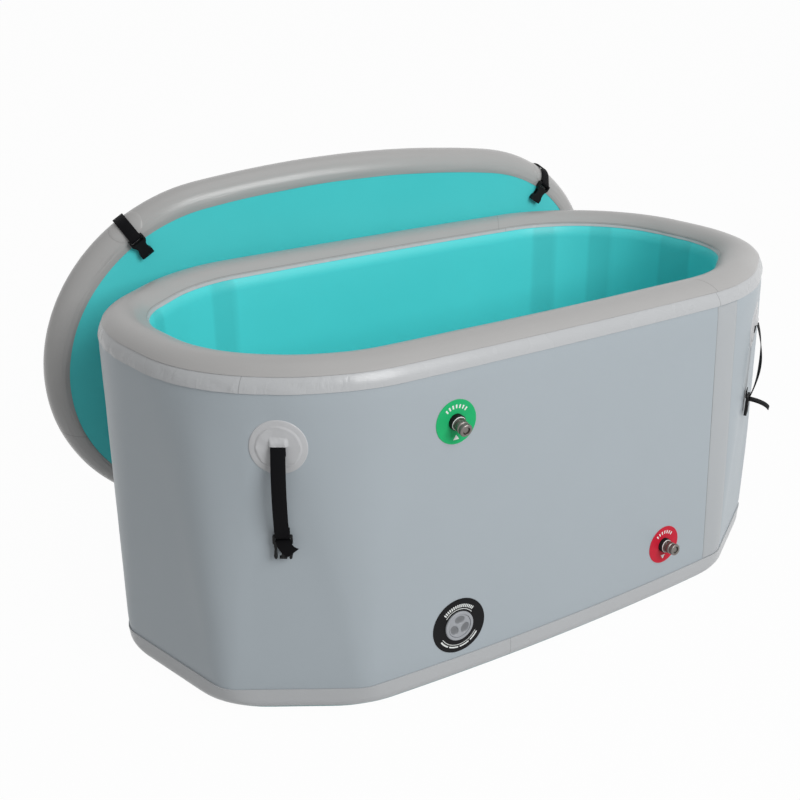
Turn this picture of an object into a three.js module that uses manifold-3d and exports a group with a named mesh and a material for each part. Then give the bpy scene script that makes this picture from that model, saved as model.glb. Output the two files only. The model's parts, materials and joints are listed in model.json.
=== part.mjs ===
// Inflatable cold plunge tub of drop-stitch fabric, with its inflatable lid leaning on the back rim.
// Millimetres, +Z up, +X along the tub, water fittings on the -Y side, origin on the floor under the middle.
import * as THREE from 'three';
import { mergeVertices } from 'three/addons/utils/BufferGeometryUtils.js';
import Module from 'manifold-3d';

const wasm = await Module();
wasm.setup();

// Cloth, tapes and fits shared by all pieces
const clearance = 0.3;
const skinThickness = 1.2;
const tapeProud = 0.8;
const capTapeThickness = 0.9;
const labelThickness = 0.8;

// Tub wall: bowed long sides and five rounded folds round each end, the middle one off the centre line
const tubHeight = 670;
const halfLength = 732;
const halfWidth = 364;
const endTaper = 10;
const endBulgeRim = 36;
const endBulgeBase = 70;
const endFoldShift = 55;
const cornerFoldRim = 198;
const cornerFoldBase = 227;
const diagonalRunRim = 206;
const diagonalRunBase = 218;
const sideBowRim = 8.5;
const sideBowBase = 16.8;
const foldRadiusRim = 349;
const foldRadiusWall = 58;
const foldRadiusFloor = 200;
const foldRadiusInside = 246;
const leastFoldRadius = 12;
const wallThickness = 100;
const rimOuterSeamAngle = 6;
const rimInnerSeamAngle = 150;
const capTapeStartAngle = 38;
const capTapeEndAngle = 142;

// Tub base and floor
const baseSeamHeight = 51;
const baseRound = 28;
const baseTapeEndAngle = 22;
const baseSheetThickness = 1.6;
const floorTopHeight = 70;
const floorEdgeRound = 14;

// Glued strip over the wall's closing seam
const seamStripFromFold = 48;
const seamStripLean = 28;
const seamStripWidth = 65;
const seamStripThickness = 1;
const seamStripGlue = 0.9;

// Inflation valve
const valveX = -250;
const valveHeight = 120;
const valveLabelRadius = 56;
const valveFlangeRadius = 30;
const valveFlangeHeight = 4;
const valveBarrelRadius = 26;
const valveCupRadius = 24;
const valveDepth = 34;
const valveSeatThickness = 4;
const valveAirHoleRadius = 4;
const valveAirHoleCircle = 13;
const valveStemRadius = 3;
const valveStemTravel = 6;
const valveButtonRadius = 7;
const valvePoppetRadius = 19;
const valvePoppetThickness = 3;
const valveCapThickness = 6;
const valveCapSink = 1;
const fingerPocketDepth = 3.2;
const fingerPocketRadius = 7;
const fingerPocketCircle = 13.5;

// Water inlet and outlet
const inletX = -258;
const inletBelowTop = 140;
const inletTilt = 12;
const outletX = 266;
const outletHeight = 130;
const outletTilt = -4;
const waterLabelRadius = 41;
const bushingRadius = 15;
const bushingBore = 11;
const bushingCollar = 8;
const bushingInside = 14;
const flangeNutRadius = 33;
const flangeNutThickness = 7;
const flangeNutHubRadius = 21;
const flangeNutHub = 5;
const sealThickness = 1.7;
const sealBore = 8;
const nippleRadius = 12;
const nippleShoulder = 12.8;
const nippleShoulderHeight = 3;
const nippleGroove = 10.4;
const nippleGrooveWidth = 2.4;
const nippleLength = 26;
const nippleTailRadius = 6.5;
const nippleTail = 16;
const nippleMouth = 7.2;
const nippleMouthDepth = 16;
const nippleGuideBore = 2.6;
const poppetStemRadius = 2;
const poppetHeadHeight = 3.5;
const poppetSink = 2;
const poppetTravel = 5;

// Coil springs under the valve button and the poppets
const springWire = 0.5;
const springTurns = 4;

// Webbing, strap patches and side-release buckles
const webbingWidth = 25;
const webbingThickness = 1.4;
const webbingTail = 14;
const loopBarRadius = 1.5;
const patchRadius = 49;
const patchThickness = 1.5;
const patchCoverRadius = 38;
const patchCoverThickness = 1.2;
const patchCheek = 3.3;
const patchLoopHeight = 20;
const patchRoof = 1.5;
const tubStrapBelowTop = 140;
const tubStrapFromFold = 109;
const tubStrapHang = 160;
const tubStrapBow = 22;
const buckleBarHalf = 2;
const buckleBarHalfThickness = 2.5;
const buckleSlot = 7;
const buckleCheek = 3.8;
const maleLength = 43;
const maleThickness = 6;
const maleBodyEnd = 15;
const maleProngWidth = 4.4;
const maleStemHalf = 2.6;
const femaleLength = 46;
const femaleThickness = 10;
const femaleMouthHalf = 14.5;
const femaleWaistHalf = 11;
const femaleCavityHalf = 12;
const femaleCavityHeight = 6;
const femaleCavityDepth = 28;
const tubBuckleOffWall = 9;

// Lid: a four-arc oval panel, standing on its long edge and leaning on the tub's back rim
const lidHalfLength = 706;
const lidHalfWidth = 426;
const lidSideCrown = 22;
const lidThickness = 80;
const lidRailReach = 42.5;
const lidLean = 9.5;
const lidYaw = -3.4;
const lidOffsetX = -6;
const lidValveX = 0;
const lidStrapAngle = 56.5;
const lidLoopInset = 50;
const lidPatchRadius = 38;
const lidPatchBack = 36;
const lidPatchLip = 4;
const lidStrapLift = 4.2;
const lidBuckleInset = 28;
const lidBuckleOffFace = 7;

// Facet counts
const foldSteps = 3;
const sideSteps = 5;
const lidEndSteps = 12;
const lidSideSteps = 4;
const sectionStep = 30;
const roundSides = 14;
const labelSides = 20;
const stripRows = 11;
const stripColumns = 9;
const seatRays = 16;
const seatSamples = 64;

// Sizes that follow from the ones above
const lidEndRadius = lidHalfWidth - lidSideCrown;
const rimTapeRadius = wallThickness / 2 + tapeProud;
const rimCrown = rimTapeRadius + clearance + capTapeThickness;
const rimCentre = tubHeight - rimCrown;
const coreInset = skinThickness + clearance;
const buckleHalfWidth = webbingWidth / 2 + 0.7 + buckleCheek;
const slotHalfWidth = webbingWidth / 2 + 0.7;
const buckleBarReach = Math.hypot(buckleBarHalf, buckleBarHalfThickness);
const buckleHook = buckleBarReach + clearance + webbingThickness / 2;
const loopHook = loopBarRadius + clearance + webbingThickness / 2;
const degree = Math.PI / 180;

// Materials as they look on the tub
const finish = (color, roughness, metalness = 0) =>
  new THREE.MeshStandardMaterial({ color, roughness, metalness });
const wallGrey = finish(0xa9b2b8, 0.5);
const tapeGrey = finish(0xb0b0ae, 0.42);
const stripGrey = finish(0xb4b8bb, 0.45);
const teal = finish(0x44cbcd, 0.45);
const airCore = finish(0xd8dadb, 0.8);
const blackPlastic = finish(0x141618, 0.45);
const blackWebbing = finish(0x121418, 0.8);
const valveGrey = finish(0x93969c, 0.4);
const greenLabel = finish(0x23b46e, 0.5);
const redLabel = finish(0xd22337, 0.5);
const blackLabel = finish(0x17181a, 0.5);
const whiteSeal = finish(0xe9ebea, 0.5);
const nippleMetal = finish(0x8d8b88, 0.35, 0.9);
const springSteel = finish(0x9a9b9d, 0.3, 1);

const tub = new THREE.Group();

function addPiece(parent, name, geometry, material) {
  const piece = new THREE.Mesh(geometry, material);
  piece.name = name;
  parent.add(piece);
  return piece;
}

// Closed bodies from rings of points, turned so that their faces point out
function closedBody(points, faces) {
  let volume = 0;
  for (const [a, b, c] of faces) {
    volume += points[a].dot(new THREE.Vector3().crossVectors(points[b], points[c]));
  }
  const order = volume < 0 ? faces.map(([a, b, c]) => [a, c, b]) : faces;
  const geometry = new THREE.BufferGeometry();
  geometry.setAttribute('position', new THREE.Float32BufferAttribute(points.flatMap((p) => p.toArray()), 3));
  geometry.setIndex(order.flat());
  return geometry;
}

function loft(rings, joined) {
  const count = rings[0].length;
  const points = rings.flat();
  const faces = [];
  const bands = joined ? rings.length : rings.length - 1;
  for (let band = 0; band < bands; band++) {
    const low = band * count;
    const high = ((band + 1) % rings.length) * count;
    for (let i = 0; i < count; i++) {
      const next = (i + 1) % count;
      if (points[high + i].z >= points[low + i].z) {
        faces.push([low + i, low + next, high + next], [low + i, high + next, high + i]);
      } else {
        faces.push([low + i, low + next, high + i], [low + next, high + next, high + i]);
      }
    }
  }
  if (!joined) {
    for (const [ring, turn] of [[0, -1], [rings.length - 1, 1]]) {
      const middle = points.length;
      const start = ring * count;
      const centre = rings[ring].reduce((sum, p) => sum.add(p), new THREE.Vector3());
      points.push(centre.divideScalar(count));
      for (let i = 0; i < count; i++) {
        const next = start + ((i + 1) % count);
        faces.push(turn > 0 ? [start + i, next, middle] : [next, start + i, middle]);
      }
    }
  }
  return closedBody(points, faces);
}

// A thin curved sheet from matching grids of points on its two faces
function slab(inner, outer) {
  const rows = inner.length;
  const columns = inner[0].length;
  const faces = [];
  const quad = (a, b, c, d) => faces.push([a, b, c], [a, c, d]);
  const under = (row, column) => row * columns + column;
  const over = (row, column) => (rows + row) * columns + column;
  const last = rows - 1;
  const end = columns - 1;
  for (let row = 0; row < last; row++) {
    for (let column = 0; column < end; column++) {
      quad(over(row, column), over(row, column + 1), over(row + 1, column + 1), over(row + 1, column));
      quad(under(row, column), under(row + 1, column), under(row + 1, column + 1), under(row, column + 1));
    }
    quad(under(row + 1, 0), under(row, 0), over(row, 0), over(row + 1, 0));
    quad(under(row, end), under(row + 1, end), over(row + 1, end), over(row, end));
  }
  for (let column = 0; column < end; column++) {
    quad(under(0, column), under(0, column + 1), over(0, column + 1), over(0, column));
    quad(under(last, column + 1), under(last, column), over(last, column), over(last, column + 1));
  }
  return closedBody([...inner.flat(), ...outer.flat()], faces);
}

function toSolid(geometry) {
  const bare = geometry.clone();
  bare.deleteAttribute('normal');
  bare.deleteAttribute('uv');
  const merged = mergeVertices(bare);
  return new wasm.Manifold(new wasm.Mesh({
    numProp: 3,
    vertProperties: new Float32Array(merged.attributes.position.array),
    triVerts: new Uint32Array(merged.index.array),
  }));
}

function fromSolid(solid) {
  const mesh = solid.getMesh();
  const geometry = new THREE.BufferGeometry();
  geometry.setAttribute('position', new THREE.BufferAttribute(mesh.vertProperties, 3));
  geometry.setIndex(new THREE.BufferAttribute(mesh.triVerts, 1));
  return geometry;
}

const cut = (geometry, cutters) =>
  fromSolid(cutters.reduce((solid, cutter) => solid.subtract(toSolid(cutter)), toSolid(geometry)));

const join = (pieces) =>
  fromSolid(pieces.slice(1).reduce((solid, piece) => solid.add(toSolid(piece)), toSolid(pieces[0])));

// Turned pieces about local Z, from a profile of [radius, height] pairs that closes on itself
function turned(profile, sides = roundSides) {
  const outline = [...profile, profile[0]].map(([r, z]) => new THREE.Vector2(r, z));
  const bare = new THREE.LatheGeometry(outline, sides).rotateX(Math.PI / 2);
  bare.deleteAttribute('normal');
  bare.deleteAttribute('uv');
  const merged = mergeVertices(bare);
  const flat = merged.attributes.position;
  const points = Array.from({ length: flat.count }, (_, i) => new THREE.Vector3().fromBufferAttribute(flat, i));
  const index = Array.from(merged.index.array);
  const faces = [];
  for (let i = 0; i < index.length; i += 3) {
    const [a, b, c] = index.slice(i, i + 3);
    if (a !== b && b !== c && c !== a) {
      faces.push([a, b, c]);
    }
  }
  return closedBody(points, faces);
}

// A round cutter along local Z whose flats stay outside the radius
function drill(radius, bottom, top, sides = roundSides) {
  const reach = radius / Math.cos(Math.PI / sides);
  return new THREE.CylinderGeometry(reach, reach, top - bottom, sides)
    .rotateX(Math.PI / 2)
    .translate(0, 0, (top + bottom) / 2);
}

function box(x, y, z) {
  return new THREE.BoxGeometry(x[1] - x[0], y[1] - y[0], z[1] - z[0])
    .translate((x[0] + x[1]) / 2, (y[0] + y[1]) / 2, (z[0] + z[1]) / 2);
}

function arc(centre, radius, from, to, steps) {
  return Array.from({ length: steps + 1 }, (_, i) => {
    const angle = (from + ((to - from) * i) / steps) * degree;
    return [centre[0] + radius * Math.cos(angle), centre[1] + radius * Math.sin(angle)];
  });
}

// Share of the way from the base seam up to the rim
const wallRise = (height) =>
  THREE.MathUtils.clamp((height - baseSeamHeight) / (rimCentre - baseSeamHeight), 0, 1);

// Sharp folds of the wall's outline, anticlockwise from the front right
function wallFolds(rise) {
  const between = (base, rim) => THREE.MathUtils.lerp(base, rim, rise);
  const endX = halfLength - between(0, endTaper);
  const cornerX = endX - between(endBulgeBase, endBulgeRim);
  const cornerY = between(cornerFoldBase, cornerFoldRim);
  const sideX = cornerX - between(diagonalRunBase, diagonalRunRim);
  const right = [
    [sideX, -halfWidth],
    [cornerX, -cornerY],
    [endX, -endFoldShift],
    [cornerX, cornerY],
    [sideX, halfWidth],
  ];
  return [...right, ...right.map(([x, y]) => [-x, -y])].map(([x, y]) => new THREE.Vector2(x, y));
}

// Plan outline of the wall at a height, moved inwards by the inset
function wallPlan(inset, height) {
  const rise = wallRise(height);
  const sink = THREE.MathUtils.clamp((baseSeamHeight - height) / baseSeamHeight, 0, 1);
  const bow = THREE.MathUtils.lerp(sideBowBase, sideBowRim, rise);
  const wallFold = THREE.MathUtils.lerp(foldRadiusWall, foldRadiusRim, rise);
  const outerFold = THREE.MathUtils.lerp(wallFold, foldRadiusFloor, sink);
  const fold = Math.max(
    THREE.MathUtils.lerp(outerFold, foldRadiusInside, inset / wallThickness), leastFoldRadius);
  const sharp = wallFolds(rise);
  const count = sharp.length;
  const outwards = sharp.map((corner, i) => {
    const edge = sharp[(i + 1) % count].clone().sub(corner).normalize();
    return new THREE.Vector2(edge.y, -edge.x);
  });
  const corners = sharp.map((corner, i) => {
    const before = outwards[(i + count - 1) % count];
    const share = -inset / (1 + before.dot(outwards[i]));
    return corner.clone().addScaledVector(before, share).addScaledVector(outwards[i], share);
  });
  const foldX = corners[0].x;
  const fillets = corners.map((corner, i) => {
    const before = corners[(i + count - 1) % count];
    const after = corners[(i + 1) % count];
    const incoming = corner.clone().sub(before);
    const outgoing = after.clone().sub(corner);
    const turn = incoming.angleTo(outgoing);
    const room = 0.48 * Math.min(incoming.length(), outgoing.length());
    const tangent = Math.min(fold * Math.tan(turn / 2), room);
    const radius = tangent / Math.tan(turn / 2);
    const heading = incoming.clone().normalize();
    const outward = new THREE.Vector2(heading.y, -heading.x);
    const centre = corner.clone().addScaledVector(heading, -tangent).addScaledVector(outward, -radius);
    return Array.from({ length: foldSteps + 1 }, (_, k) => outward.clone()
      .multiplyScalar(radius)
      .rotateAround(new THREE.Vector2(), (turn * k) / foldSteps)
      .add(centre));
  });
  const outline = [];
  fillets.forEach((fillet, i) => {
    outline.push(...fillet);
    if (i % 5 === 4) {
      const end = fillets[(i + 1) % count][0];
      const start = fillet[fillet.length - 1];
      for (let k = 1; k < sideSteps; k++) {
        outline.push(start.clone().lerp(end, k / sideSteps));
      }
    }
  });
  for (const point of outline) {
    const share = Math.min(Math.abs(point.x) / foldX, 1);
    point.y += Math.sign(point.y) * bow * (1 - share * share);
  }
  return outline;
}

// Only the outside of the base rounds off towards the floor
const wallRing = ([inset, height]) =>
  wallPlan(inset, inset < baseRound + clearance ? height : Math.max(height, baseSeamHeight))
    .map((p) => new THREE.Vector3(p.x, p.y, height));
const wallBody = (section) => loft(section.map(wallRing), true);

// Arcs whose corners share one set of angles, so that the facets of nested layers stay parallel
function steppedArc(radius, from, to) {
  const low = Math.min(from, to);
  const high = Math.max(from, to);
  const angles = [low];
  for (let k = Math.floor(low / sectionStep) + 1; k * sectionStep < high; k++) {
    angles.push(k * sectionStep);
  }
  angles.push(high);
  const order = to < from ? angles.reverse() : angles;
  return order.map((angle) => [radius * Math.cos(angle * degree), radius * Math.sin(angle * degree)]);
}

// Points of the rounded rim and base in the wall's section, as [inset, height]
const rimArc = (radius, from, to) =>
  steppedArc(radius, from, to).map(([x, z]) => [wallThickness / 2 - x, rimCentre + z]);
const baseArc = (radius, from, to) =>
  steppedArc(radius, from, to).map(([x, z]) => [baseRound - x, baseRound - z]);

// Outline of the wall's upright facets at a height, with a point on every facet edge that it crosses
function wallSection(inset, height) {
  const rise = wallRise(height);
  const low = wallPlan(inset, baseSeamHeight);
  const high = wallPlan(inset, rimCentre);
  return low.flatMap((point, i) => [
    point.clone().lerp(high[i], rise),
    point.clone().lerp(high[(i + 1) % high.length], rise),
  ]);
}

// Distance from a start point along a heading to the wall's outline
function wallReach(start, heading, inset, height) {
  const outline = wallSection(inset, height);
  let reach = 0;
  outline.forEach((from, i) => {
    const edge = outline[(i + 1) % outline.length].clone().sub(from);
    const offset = from.clone().sub(start);
    const scale = heading.cross(edge);
    const travel = offset.cross(edge) / scale;
    const share = offset.cross(heading) / scale;
    if (Math.abs(scale) > 1e-9 && share >= 0 && share <= 1) {
      reach = Math.max(reach, travel);
    }
  });
  return reach;
}

// Local frame of a fitting on the wall: X along the wall, Y up, Z outwards, just clear of the outer skin.
// inside is the local height of the inner skin's face.
function wallSeat(start, heading, height, radius, innerRadius) {
  const side = new THREE.Vector2(-heading.y, heading.x);
  const at = (across, up, inset) => {
    const foot = start.clone().addScaledVector(side, across);
    foot.addScaledVector(heading, wallReach(foot, heading, inset, height + up));
    return new THREE.Vector3(foot.x, foot.y, height + up);
  };
  const tangent = at(radius, 0, 0).sub(at(-radius, 0, 0)).normalize();
  const rising = at(0, radius, 0).sub(at(0, -radius, 0)).normalize();
  const outward = new THREE.Vector3().crossVectors(tangent, rising).normalize();
  const upward = new THREE.Vector3().crossVectors(outward, tangent);
  const origin = at(0, 0, 0);
  const spread = (reach, inset) => Array.from({ length: seatSamples + 1 }, (_, i) => {
    const angle = ((i % seatRays) * 2 * Math.PI) / seatRays;
    const share = (reach * Math.ceil(i / seatRays) * seatRays) / seatSamples;
    return at(share * Math.cos(angle), share * Math.sin(angle), inset).sub(origin).dot(outward);
  });
  const lift = Math.max(...spread(radius, 0));
  const inside = Math.min(...spread(innerRadius, wallThickness)) - lift;
  origin.addScaledVector(outward, lift);
  const frame = new THREE.Matrix4().makeBasis(tangent, upward, outward).setPosition(origin);
  return { frame, inside };
}

function seated(frame, parent) {
  const group = new THREE.Group();
  group.applyMatrix4(frame);
  parent.add(group);
  return group;
}

const frontHeading = new THREE.Vector2(0, -1);
const valveSeat = wallSeat(new THREE.Vector2(valveX, 0), frontHeading, valveHeight, valveLabelRadius, valveBarrelRadius);
const inletSeat = wallSeat(
  new THREE.Vector2(inletX, 0), frontHeading, tubHeight - inletBelowTop, waterLabelRadius, flangeNutRadius);
const outletSeat = wallSeat(
  new THREE.Vector2(outletX, 0), frontHeading, outletHeight, waterLabelRadius, flangeNutRadius);

// Holes that the fittings need in the wall, from the fittings' own sizes
const valvePocketDepth = valveDepth + valvePoppetThickness + valveStemTravel + 2 * clearance + 2;
const valvePocket = drill(valveBarrelRadius + clearance, -valvePocketDepth, valveFlangeHeight);
const bushingHole = (seat) =>
  drill(bushingRadius + clearance, seat.inside - bushingInside, bushingCollar).applyMatrix4(seat.frame);
const frontHoles = [
  valvePocket.clone().applyMatrix4(valveSeat.frame),
  bushingHole(inletSeat),
  bushingHole(outletSeat),
];
const throughHoles = frontHoles.slice(1);

// Tub wall: air core, skins and tapes
const innerFace = wallThickness - coreInset;
const coreBottom = baseSheetThickness + clearance;
const rimOuterSeam = rimCentre + (wallThickness / 2) * Math.sin(rimOuterSeamAngle * degree);
const gapAngle = (clearance / rimTapeRadius) / degree;

addPiece(tub, 'wall_air_core', cut(wallBody([
  [coreInset, baseSeamHeight],
  ...rimArc(wallThickness / 2 - coreInset, 0, 180),
  [innerFace, baseSeamHeight],
  [innerFace, coreBottom],
  ...baseArc(baseRound - coreBottom, 90, 0),
]), frontHoles), airCore);

addPiece(tub, 'wall_outer_skin', cut(wallBody([
  [0, baseSeamHeight + clearance],
  [0, rimCentre],
  [0, rimOuterSeam - clearance],
  [skinThickness, rimOuterSeam - clearance],
  [skinThickness, rimCentre],
  [skinThickness, baseSeamHeight + clearance],
]), frontHoles), wallGrey);

addPiece(tub, 'wall_inner_skin', cut(wallBody([
  [wallThickness, coreBottom],
  [wallThickness, baseSeamHeight],
  ...rimArc(wallThickness / 2, 180, rimInnerSeamAngle + gapAngle),
  ...rimArc(wallThickness / 2 - skinThickness, rimInnerSeamAngle + gapAngle, 180),
  [wallThickness - skinThickness, baseSeamHeight],
  [wallThickness - skinThickness, coreBottom],
]), throughHoles), teal);

addPiece(tub, 'rim_tape', wallBody([
  ...rimArc(rimTapeRadius, rimOuterSeamAngle, rimInnerSeamAngle),
  ...rimArc(wallThickness / 2 - skinThickness, rimInnerSeamAngle, rimOuterSeamAngle),
]), tapeGrey);

addPiece(tub, 'rim_cap_tape', wallBody([
  ...rimArc(rimCrown, capTapeStartAngle, capTapeEndAngle),
  ...rimArc(rimTapeRadius + clearance, capTapeEndAngle, capTapeStartAngle),
]), tapeGrey);

addPiece(tub, 'base_tape', wallBody([
  [-tapeProud, baseSeamHeight],
  ...baseArc(baseRound + tapeProud, 0, baseTapeEndAngle),
  ...baseArc(baseRound - skinThickness, baseTapeEndAngle, 0),
  [skinThickness, baseSeamHeight],
]), tapeGrey);

// Strip over the closing seam, on the front wall beside the right fold
function seamStrip() {
  const low = baseSeamHeight + clearance;
  const high = rimOuterSeam - clearance;
  const right = wallFolds(1)[0].x - seamStripFromFold;
  const levels = Array.from({ length: stripRows }, (_, i) => THREE.MathUtils.lerp(low, high, i / (stripRows - 1)));
  const places = Array.from({ length: stripColumns }, (_, i) => (seamStripWidth * i) / (stripColumns - 1));
  const point = (place, inset, height) => {
    const start = new THREE.Vector2(right - place + seamStripLean * (1 - wallRise(height)), 0);
    return new THREE.Vector3(start.x, -wallReach(start, frontHeading, inset, height), height);
  };
  const face = (inset) => levels.map((height) => places.map((place) => point(place, inset, height)));
  return slab(face(-seamStripGlue), face(-seamStripGlue - seamStripThickness));
}
addPiece(tub, 'wall_seam_strip', seamStrip(), stripGrey);

// Floor air panel between the walls, and the sheet under the whole tub
const floorInset = wallThickness + clearance;
addPiece(tub, 'floor_air_panel', loft([
  [floorInset, coreBottom],
  [floorInset, baseSeamHeight],
  [floorInset, floorTopHeight - floorEdgeRound],
  [floorInset + floorEdgeRound * 0.3, floorTopHeight - floorEdgeRound * 0.3],
  [floorInset + floorEdgeRound, floorTopHeight],
].map(wallRing), false), teal);

const sheetEdge = baseTapeEndAngle + (clearance / baseRound) / degree;
addPiece(tub, 'base_sheet', loft([
  ...baseArc(baseRound, 90, sheetEdge),
  ...baseArc(baseRound - baseSheetThickness, sheetEdge, 90),
].map(wallRing), false), teal);

// Coil spring along local Z
class Coil extends THREE.Curve {
  constructor(radius, bottom, top) {
    super();
    this.radius = radius;
    this.bottom = bottom;
    this.top = top;
  }

  getPoint(share, target = new THREE.Vector3()) {
    const angle = share * springTurns * 2 * Math.PI;
    const height = THREE.MathUtils.lerp(this.bottom, this.top, share);
    return target.set(this.radius * Math.cos(angle), this.radius * Math.sin(angle), height);
  }
}

function spring(radius, bottom, top) {
  const section = new THREE.Shape(
    [[1, 0], [0, 1], [-1, 0], [0, -1]].map(([x, y]) => new THREE.Vector2(x * springWire, y * springWire)));
  const extrudePath = new Coil(radius, bottom + 2 * springWire, top - 2 * springWire);
  const coil = new THREE.ExtrudeGeometry(section, { extrudePath, steps: springTurns * 6 });
  return fromSolid(toSolid(coil));
}

// Inflation valve: cup with air holes, sprung stem with poppet, and a quarter-turn cap with finger pockets
function addValve(group, name) {
  const seatTop = valveSeatThickness - valveDepth;
  const cup = turned([
    [valveCupRadius, valveFlangeHeight],
    [valveFlangeRadius - 1.5, valveFlangeHeight],
    [valveFlangeRadius, valveFlangeHeight - 1.5],
    [valveFlangeRadius, clearance],
    [valveBarrelRadius, clearance],
    [valveBarrelRadius, -valveDepth],
    [valveStemRadius + clearance, -valveDepth],
    [valveStemRadius + clearance, seatTop],
    [valveCupRadius, seatTop],
  ], labelSides);
  const airHoles = [0, 1, 2].map((i) => drill(valveAirHoleRadius, -valveDepth - 1, seatTop + 1, 8)
    .translate(valveAirHoleCircle, 0, 0)
    .rotateZ((i * 2 * Math.PI) / 3));
  addPiece(group, `${name}_body`, cut(cup, airHoles), valveGrey);

  const capTop = valveFlangeHeight - valveCapSink;
  const capBottom = capTop - valveCapThickness;
  const cap = turned([
    [0, capBottom],
    [valveCupRadius - clearance, capBottom],
    [valveCupRadius - clearance, capTop - 1],
    [valveCupRadius - clearance - 1, capTop],
    [0, capTop],
  ], labelSides);
  const pockets = [0, 1, 2].map((i) => drill(fingerPocketRadius, capTop - fingerPocketDepth, capTop + 1, 12)
    .scale(0.85, 1.1, 1)
    .translate(fingerPocketCircle, 0, 0)
    .rotateZ(Math.PI / 6 + (i * 2 * Math.PI) / 3));
  addPiece(group, `${name}_cap`, cut(cap, pockets), valveGrey);

  const buttonTop = capBottom - clearance;
  const buttonBottom = buttonTop - 3;
  const poppetTop = -valveDepth - clearance;
  addPiece(group, `${name}_stem`, turned([
    [0, poppetTop - valvePoppetThickness],
    [valvePoppetRadius, poppetTop - valvePoppetThickness],
    [valvePoppetRadius, poppetTop],
    [valveStemRadius, poppetTop],
    [valveStemRadius, buttonBottom],
    [valveButtonRadius, buttonBottom],
    [valveButtonRadius, buttonTop],
    [0, buttonTop],
  ], 12), valveGrey);
  const coilRadius = (valveStemRadius + valveButtonRadius) / 2;
  addPiece(group, `${name}_spring`, spring(coilRadius, seatTop + clearance, buttonBottom - clearance), springSteel);
}

const valveGroup = seated(valveSeat.frame, tub);
valveGroup.name = 'valve_frame';
addPiece(valveGroup, 'valve_label_ring', turned([
  [valveFlangeRadius + clearance, clearance],
  [valveLabelRadius, clearance],
  [valveLabelRadius, clearance + labelThickness],
  [valveFlangeRadius + clearance, clearance + labelThickness],
], labelSides), blackLabel);
addValve(valveGroup, 'valve');

// Water fitting: label, bushing through the wall, flange nut inside, seal and valved quick-connect nipple
function addWaterFitting(name, seat, tilt, labelMaterial) {
  const group = seated(seat.frame, tub);
  addPiece(group, `${name}_label_disc`, turned([
    [bushingRadius + clearance, clearance],
    [waterLabelRadius, clearance],
    [waterLabelRadius, clearance + labelThickness],
    [bushingRadius + clearance, clearance + labelThickness],
  ], labelSides), labelMaterial);

  const slant = new THREE.Matrix4().makeRotationX(tilt * degree).setPosition(0, 0, bushingCollar);
  const spare = bushingRadius * Math.abs(Math.tan(tilt * degree)) + 1;
  const sleeve = turned([
    [bushingBore, seat.inside - bushingInside],
    [bushingRadius, seat.inside - bushingInside],
    [bushingRadius, bushingCollar + spare],
    [bushingBore, bushingCollar + spare],
  ]);
  const wide = 3 * bushingRadius;
  const mouthCut = box([-wide, wide], [-wide, wide], [0, wide]).applyMatrix4(slant);
  addPiece(group, `${name}_bushing`, cut(sleeve, [mouthCut]), blackPlastic);

  const nutTop = seat.inside - clearance;
  addPiece(group, `${name}_flange_nut`, turned([
    [bushingRadius + clearance, nutTop],
    [flangeNutRadius, nutTop],
    [flangeNutRadius, nutTop - flangeNutThickness + 2],
    [flangeNutRadius - 2, nutTop - flangeNutThickness],
    [flangeNutHubRadius, nutTop - flangeNutThickness],
    [flangeNutHubRadius, nutTop - flangeNutThickness - flangeNutHub],
    [bushingRadius + clearance, nutTop - flangeNutThickness - flangeNutHub],
  ]), blackPlastic);

  const nose = seated(slant, group);
  nose.name = `${name}_nose_frame`;
  addPiece(nose, `${name}_seal_ring`, turned([
    [sealBore, clearance],
    [nippleShoulder, clearance],
    [nippleShoulder, clearance + sealThickness],
    [sealBore, clearance + sealThickness],
  ]), whiteSeal);

  const foot = sealThickness + 2 * clearance;
  const neck = foot + nippleShoulderHeight;
  const mouthFloor = nippleLength - nippleMouthDepth;
  const ball = neck + nippleGrooveWidth + (nippleLength - neck - nippleGrooveWidth) * 0.4;
  addPiece(nose, `${name}_nipple`, turned([
    [nippleGuideBore, -nippleTail],
    [nippleTailRadius, -nippleTail],
    [nippleTailRadius, foot],
    [nippleShoulder, foot],
    [nippleShoulder, neck],
    [nippleGroove, neck],
    [nippleGroove, neck + nippleGrooveWidth],
    [nippleRadius, neck + nippleGrooveWidth],
    [nippleRadius, ball],
    [nippleGroove, ball + 1],
    [nippleGroove, ball + 1 + nippleGrooveWidth],
    [nippleRadius, ball + 2 + nippleGrooveWidth],
    [nippleRadius, nippleLength - 1.2],
    [nippleRadius - 1.2, nippleLength],
    [nippleMouth, nippleLength],
    [nippleMouth, mouthFloor],
    [nippleGuideBore, mouthFloor],
  ]), nippleMetal);

  const headTop = nippleLength - poppetSink;
  const headBottom = headTop - poppetHeadHeight;
  addPiece(nose, `${name}_poppet`, turned([
    [0, mouthFloor - poppetTravel],
    [poppetStemRadius, mouthFloor - poppetTravel],
    [poppetStemRadius, headBottom],
    [nippleMouth - clearance, headBottom],
    [nippleMouth - clearance, headTop - 1],
    [nippleMouth - clearance - 2.5, headTop],
    [0, headTop],
  ], 12), nippleMetal);
  const coilRadius = (poppetStemRadius + nippleMouth) / 2;
  addPiece(nose, `${name}_spring`, spring(coilRadius, mouthFloor + clearance, headBottom - clearance), springSteel);
}

addWaterFitting('inlet', inletSeat, inletTilt, greenLabel);
addWaterFitting('outlet', outletSeat, outletTilt, redLabel);

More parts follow.
